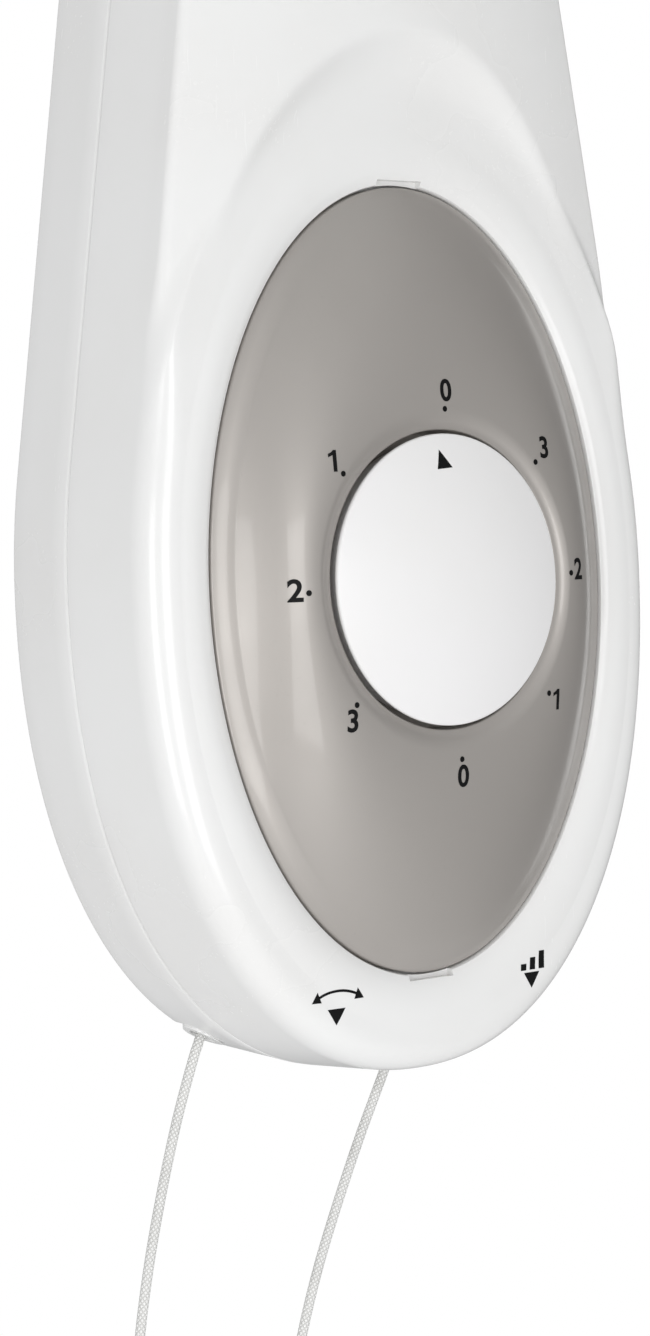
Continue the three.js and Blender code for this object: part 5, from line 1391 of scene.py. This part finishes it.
# %% Blades
ROOT_RADIUS = 30.5
TIP_RADIUS = 194
TIP_START = 0.7
HUB = [
    (4.3, 60, 0.3), (10, 60, 0.5), (10, 98, 1), (29.5, 96, 2), (29.5, 62, 0.4), (32, 62, 0.6),
    (32, 97, 3), (27, 103.5, 2.5), (12, 103.9, 0), (4.3, 104, 0.3),
]
SPINNER = [
    (4.3, 104.3, 0.2), (13, 104.3, 0.5), (13, 107, 0.8), (10, 109, 1), (9, 119, 3), (0, 120.5, 0),
    (0, 116.3, 0), (4.3, 116.3, 0),
]


def blade_point(t, c, face):
    """A point at share t of the way to the tip and c across, from -1 to 1, on the front or rear face."""
    radius = ROOT_RADIUS + (TIP_RADIUS - ROOT_RADIUS) * t
    tip = math.sqrt(max(1 - max((t - TIP_START) / (1 - TIP_START), 0) ** 2.6, 0.03))
    turn = -0.35 * t ** 1.5 + c * (0.7 - 0.1 * t) * tip
    depth = (18 + 6 * math.sin(math.pi * t) - 4 * t) * tip
    thick = 1.1 * (1 - 0.75 * abs(c) ** 6)
    forward = 82 + c * depth + 6 * (1 - c * c) * t + face * thick
    return (radius * math.sin(turn), forward, radius * math.cos(turn))


quarter = np.linspace(0, np.pi / 2, 17)[1:]
shares = np.concatenate([np.linspace(0, TIP_START, 16), TIP_START + (1 - TIP_START) * np.sin(quarter)])
across = np.sin(np.linspace(-np.pi / 2, np.pi / 2, 25))
blade_rows = [
    [blade_point(t, c, face) for face in (1, -1) for c in across[::face]] for t in shares
]
blade = edit(skin("blade", blade_rows), fill_ends, face_out)
blades = [moved(one, HEAD) for one in copied(blade, 3)]
dress(together("fan_blades", blades + [spun("hub", HUB, 96, HEAD)]), "fan_blade")

spinner = spun("spinner_cap", SPINNER, 64, HEAD)
for wing_across in ((-16, -9), (9, 16)):
    wing = block("wing", wing_across, (SWING + 104.3, SWING + 112), (FAN_AXIS - 2.5, FAN_AXIS + 2.5))
    join(spinner, soften(wing, 1.2, 3))
dress(spinner, "spinner_nut")

# %% [markdown]
# The cords now get their braided finish.

# %% Cord finish
for pull, (cord, line, cord_length) in CORDS.items():
    cord.data.materials.append(FINISHES["cord"])
print("cords declared:", ", ".join(CORDS))

# %% [markdown]
# A pale floor far below takes a soft shadow and fades into the white of the studio. The world is white
# where the camera or a clear surface looks at it. It is dimmer as a light, and its mirror image darkens
# to one side, so that whites keep their shape. More light would also make the background white, but it
# would wash out the shell.

# %% World
WORLD_LIGHT = (0.6, 0.15)
WORLD_TINT = (0.985, 0.99, 1, 1)
TURN = (0.1, 1.0)


def studio_world():
    world = bpy.data.worlds.new("studio")
    bpy.context.scene.world = world
    tree = Tree(world)
    seen = tree.node("Background", None, (1, 1, 1, 1), 1)
    lit, dark = (tree.node("Background", None, WORLD_TINT, strength) for strength in WORLD_LIGHT)
    way = tree.node("SeparateXYZ", None, tree.node("TexCoord", output="Generated"))
    mirrored = way.above(*TURN) * tree.node("LightPath", output="Is Glossy Ray")
    rays = (tree.node("LightPath", output=f"Is {kind} Ray") for kind in ("Camera", "Transmission"))
    direct = tree.node("Math", {"operation": "MAXIMUM"}, *rays)
    light = tree.node("MixShader", None, mirrored, lit, dark)
    shown = tree.node("MixShader", None, direct, light, seen)
    tree.feed(tree.nodes["World Output"].inputs["Surface"], shown)


studio_world()
bpy.context.scene.view_settings.view_transform = "Standard"
print("world:", bpy.context.scene.world.name)

# %% Lamps
LAMPS = {
    "key": ((-0.3, -1.6, -0.25), (0, 0, -0.05), (0.65, 1.0), 6.8),
    "side": ((-1.5, -0.95, -0.3), (0, 0, -0.08), (0.7, 1.2), 8.5),
    "back": ((1.3, 1.5, 0.35), (0, 0, 0.05), (1.2, 1.2), 9),
}


def lamp(name, place, target, size, power):
    light = added(name, bpy.data.lights.new(name, "AREA"))
    light.data.shape, light.data.energy = "RECTANGLE", power
    light.data.size, light.data.size_y = size
    light.location = place
    light.rotation_euler = (Vector(target) - Vector(place)).to_track_quat("-Z", "Y").to_euler()


for name, settings in LAMPS.items():
    lamp(name, *settings)
print("lamps:", ", ".join(LAMPS))

# %% Floor
FLOOR_PLACE = (0, -0.2, -0.62)
FLOOR_RADIUS = 1.3
FLOOR_FADE = (0.7, 1.25)
FLOOR_PALENESS = 0.7


def floor_finish():
    """Paper that the camera sees paler than it is lit, and that clears away towards its edge."""
    finish = Finish("floor_paper")
    grain = finish.noise(4, 3)
    finish.tone_and_relief(grain * 0.3, (247, 247, 247), (240, 240, 240), 0.9, grain, 0.05)
    middle = tuple(-x for x in FLOOR_PLACE[:2])
    place = finish.node("Mapping", None, Vector=finish.place, Location=(*middle, 0))
    distance = finish.node("VectorMath", {"operation": "LENGTH"}, place, output=1)
    lit = Field(finish, finish.shader.outputs[0])
    paleness = finish.node("LightPath") * FLOOR_PALENESS
    pale = finish.node("MixShader", None, paleness, lit, finish.node("Emission"))
    clear = finish.node("BsdfTransparent")
    faded = finish.node("MixShader", None, distance.above(*FLOOR_FADE), pale, clear)
    finish.feed(finish.nodes["Material Output"].inputs["Surface"], faded)
    return finish.material


bpy.ops.mesh.primitive_circle_add(vertices=96, radius=FLOOR_RADIUS, fill_type="NGON", location=FLOOR_PLACE)
floor = settled("floor")
floor.data.materials.append(floor_finish())
floor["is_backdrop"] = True
print("floor", 2 * FLOOR_RADIUS, "m across")

# %% [markdown]
# Last, the finished model's size is printed.

# %% Finish
low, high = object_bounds()
print("visual model:", [round(1000 * (b - a), 1) for a, b in zip(low, high)], "mm")
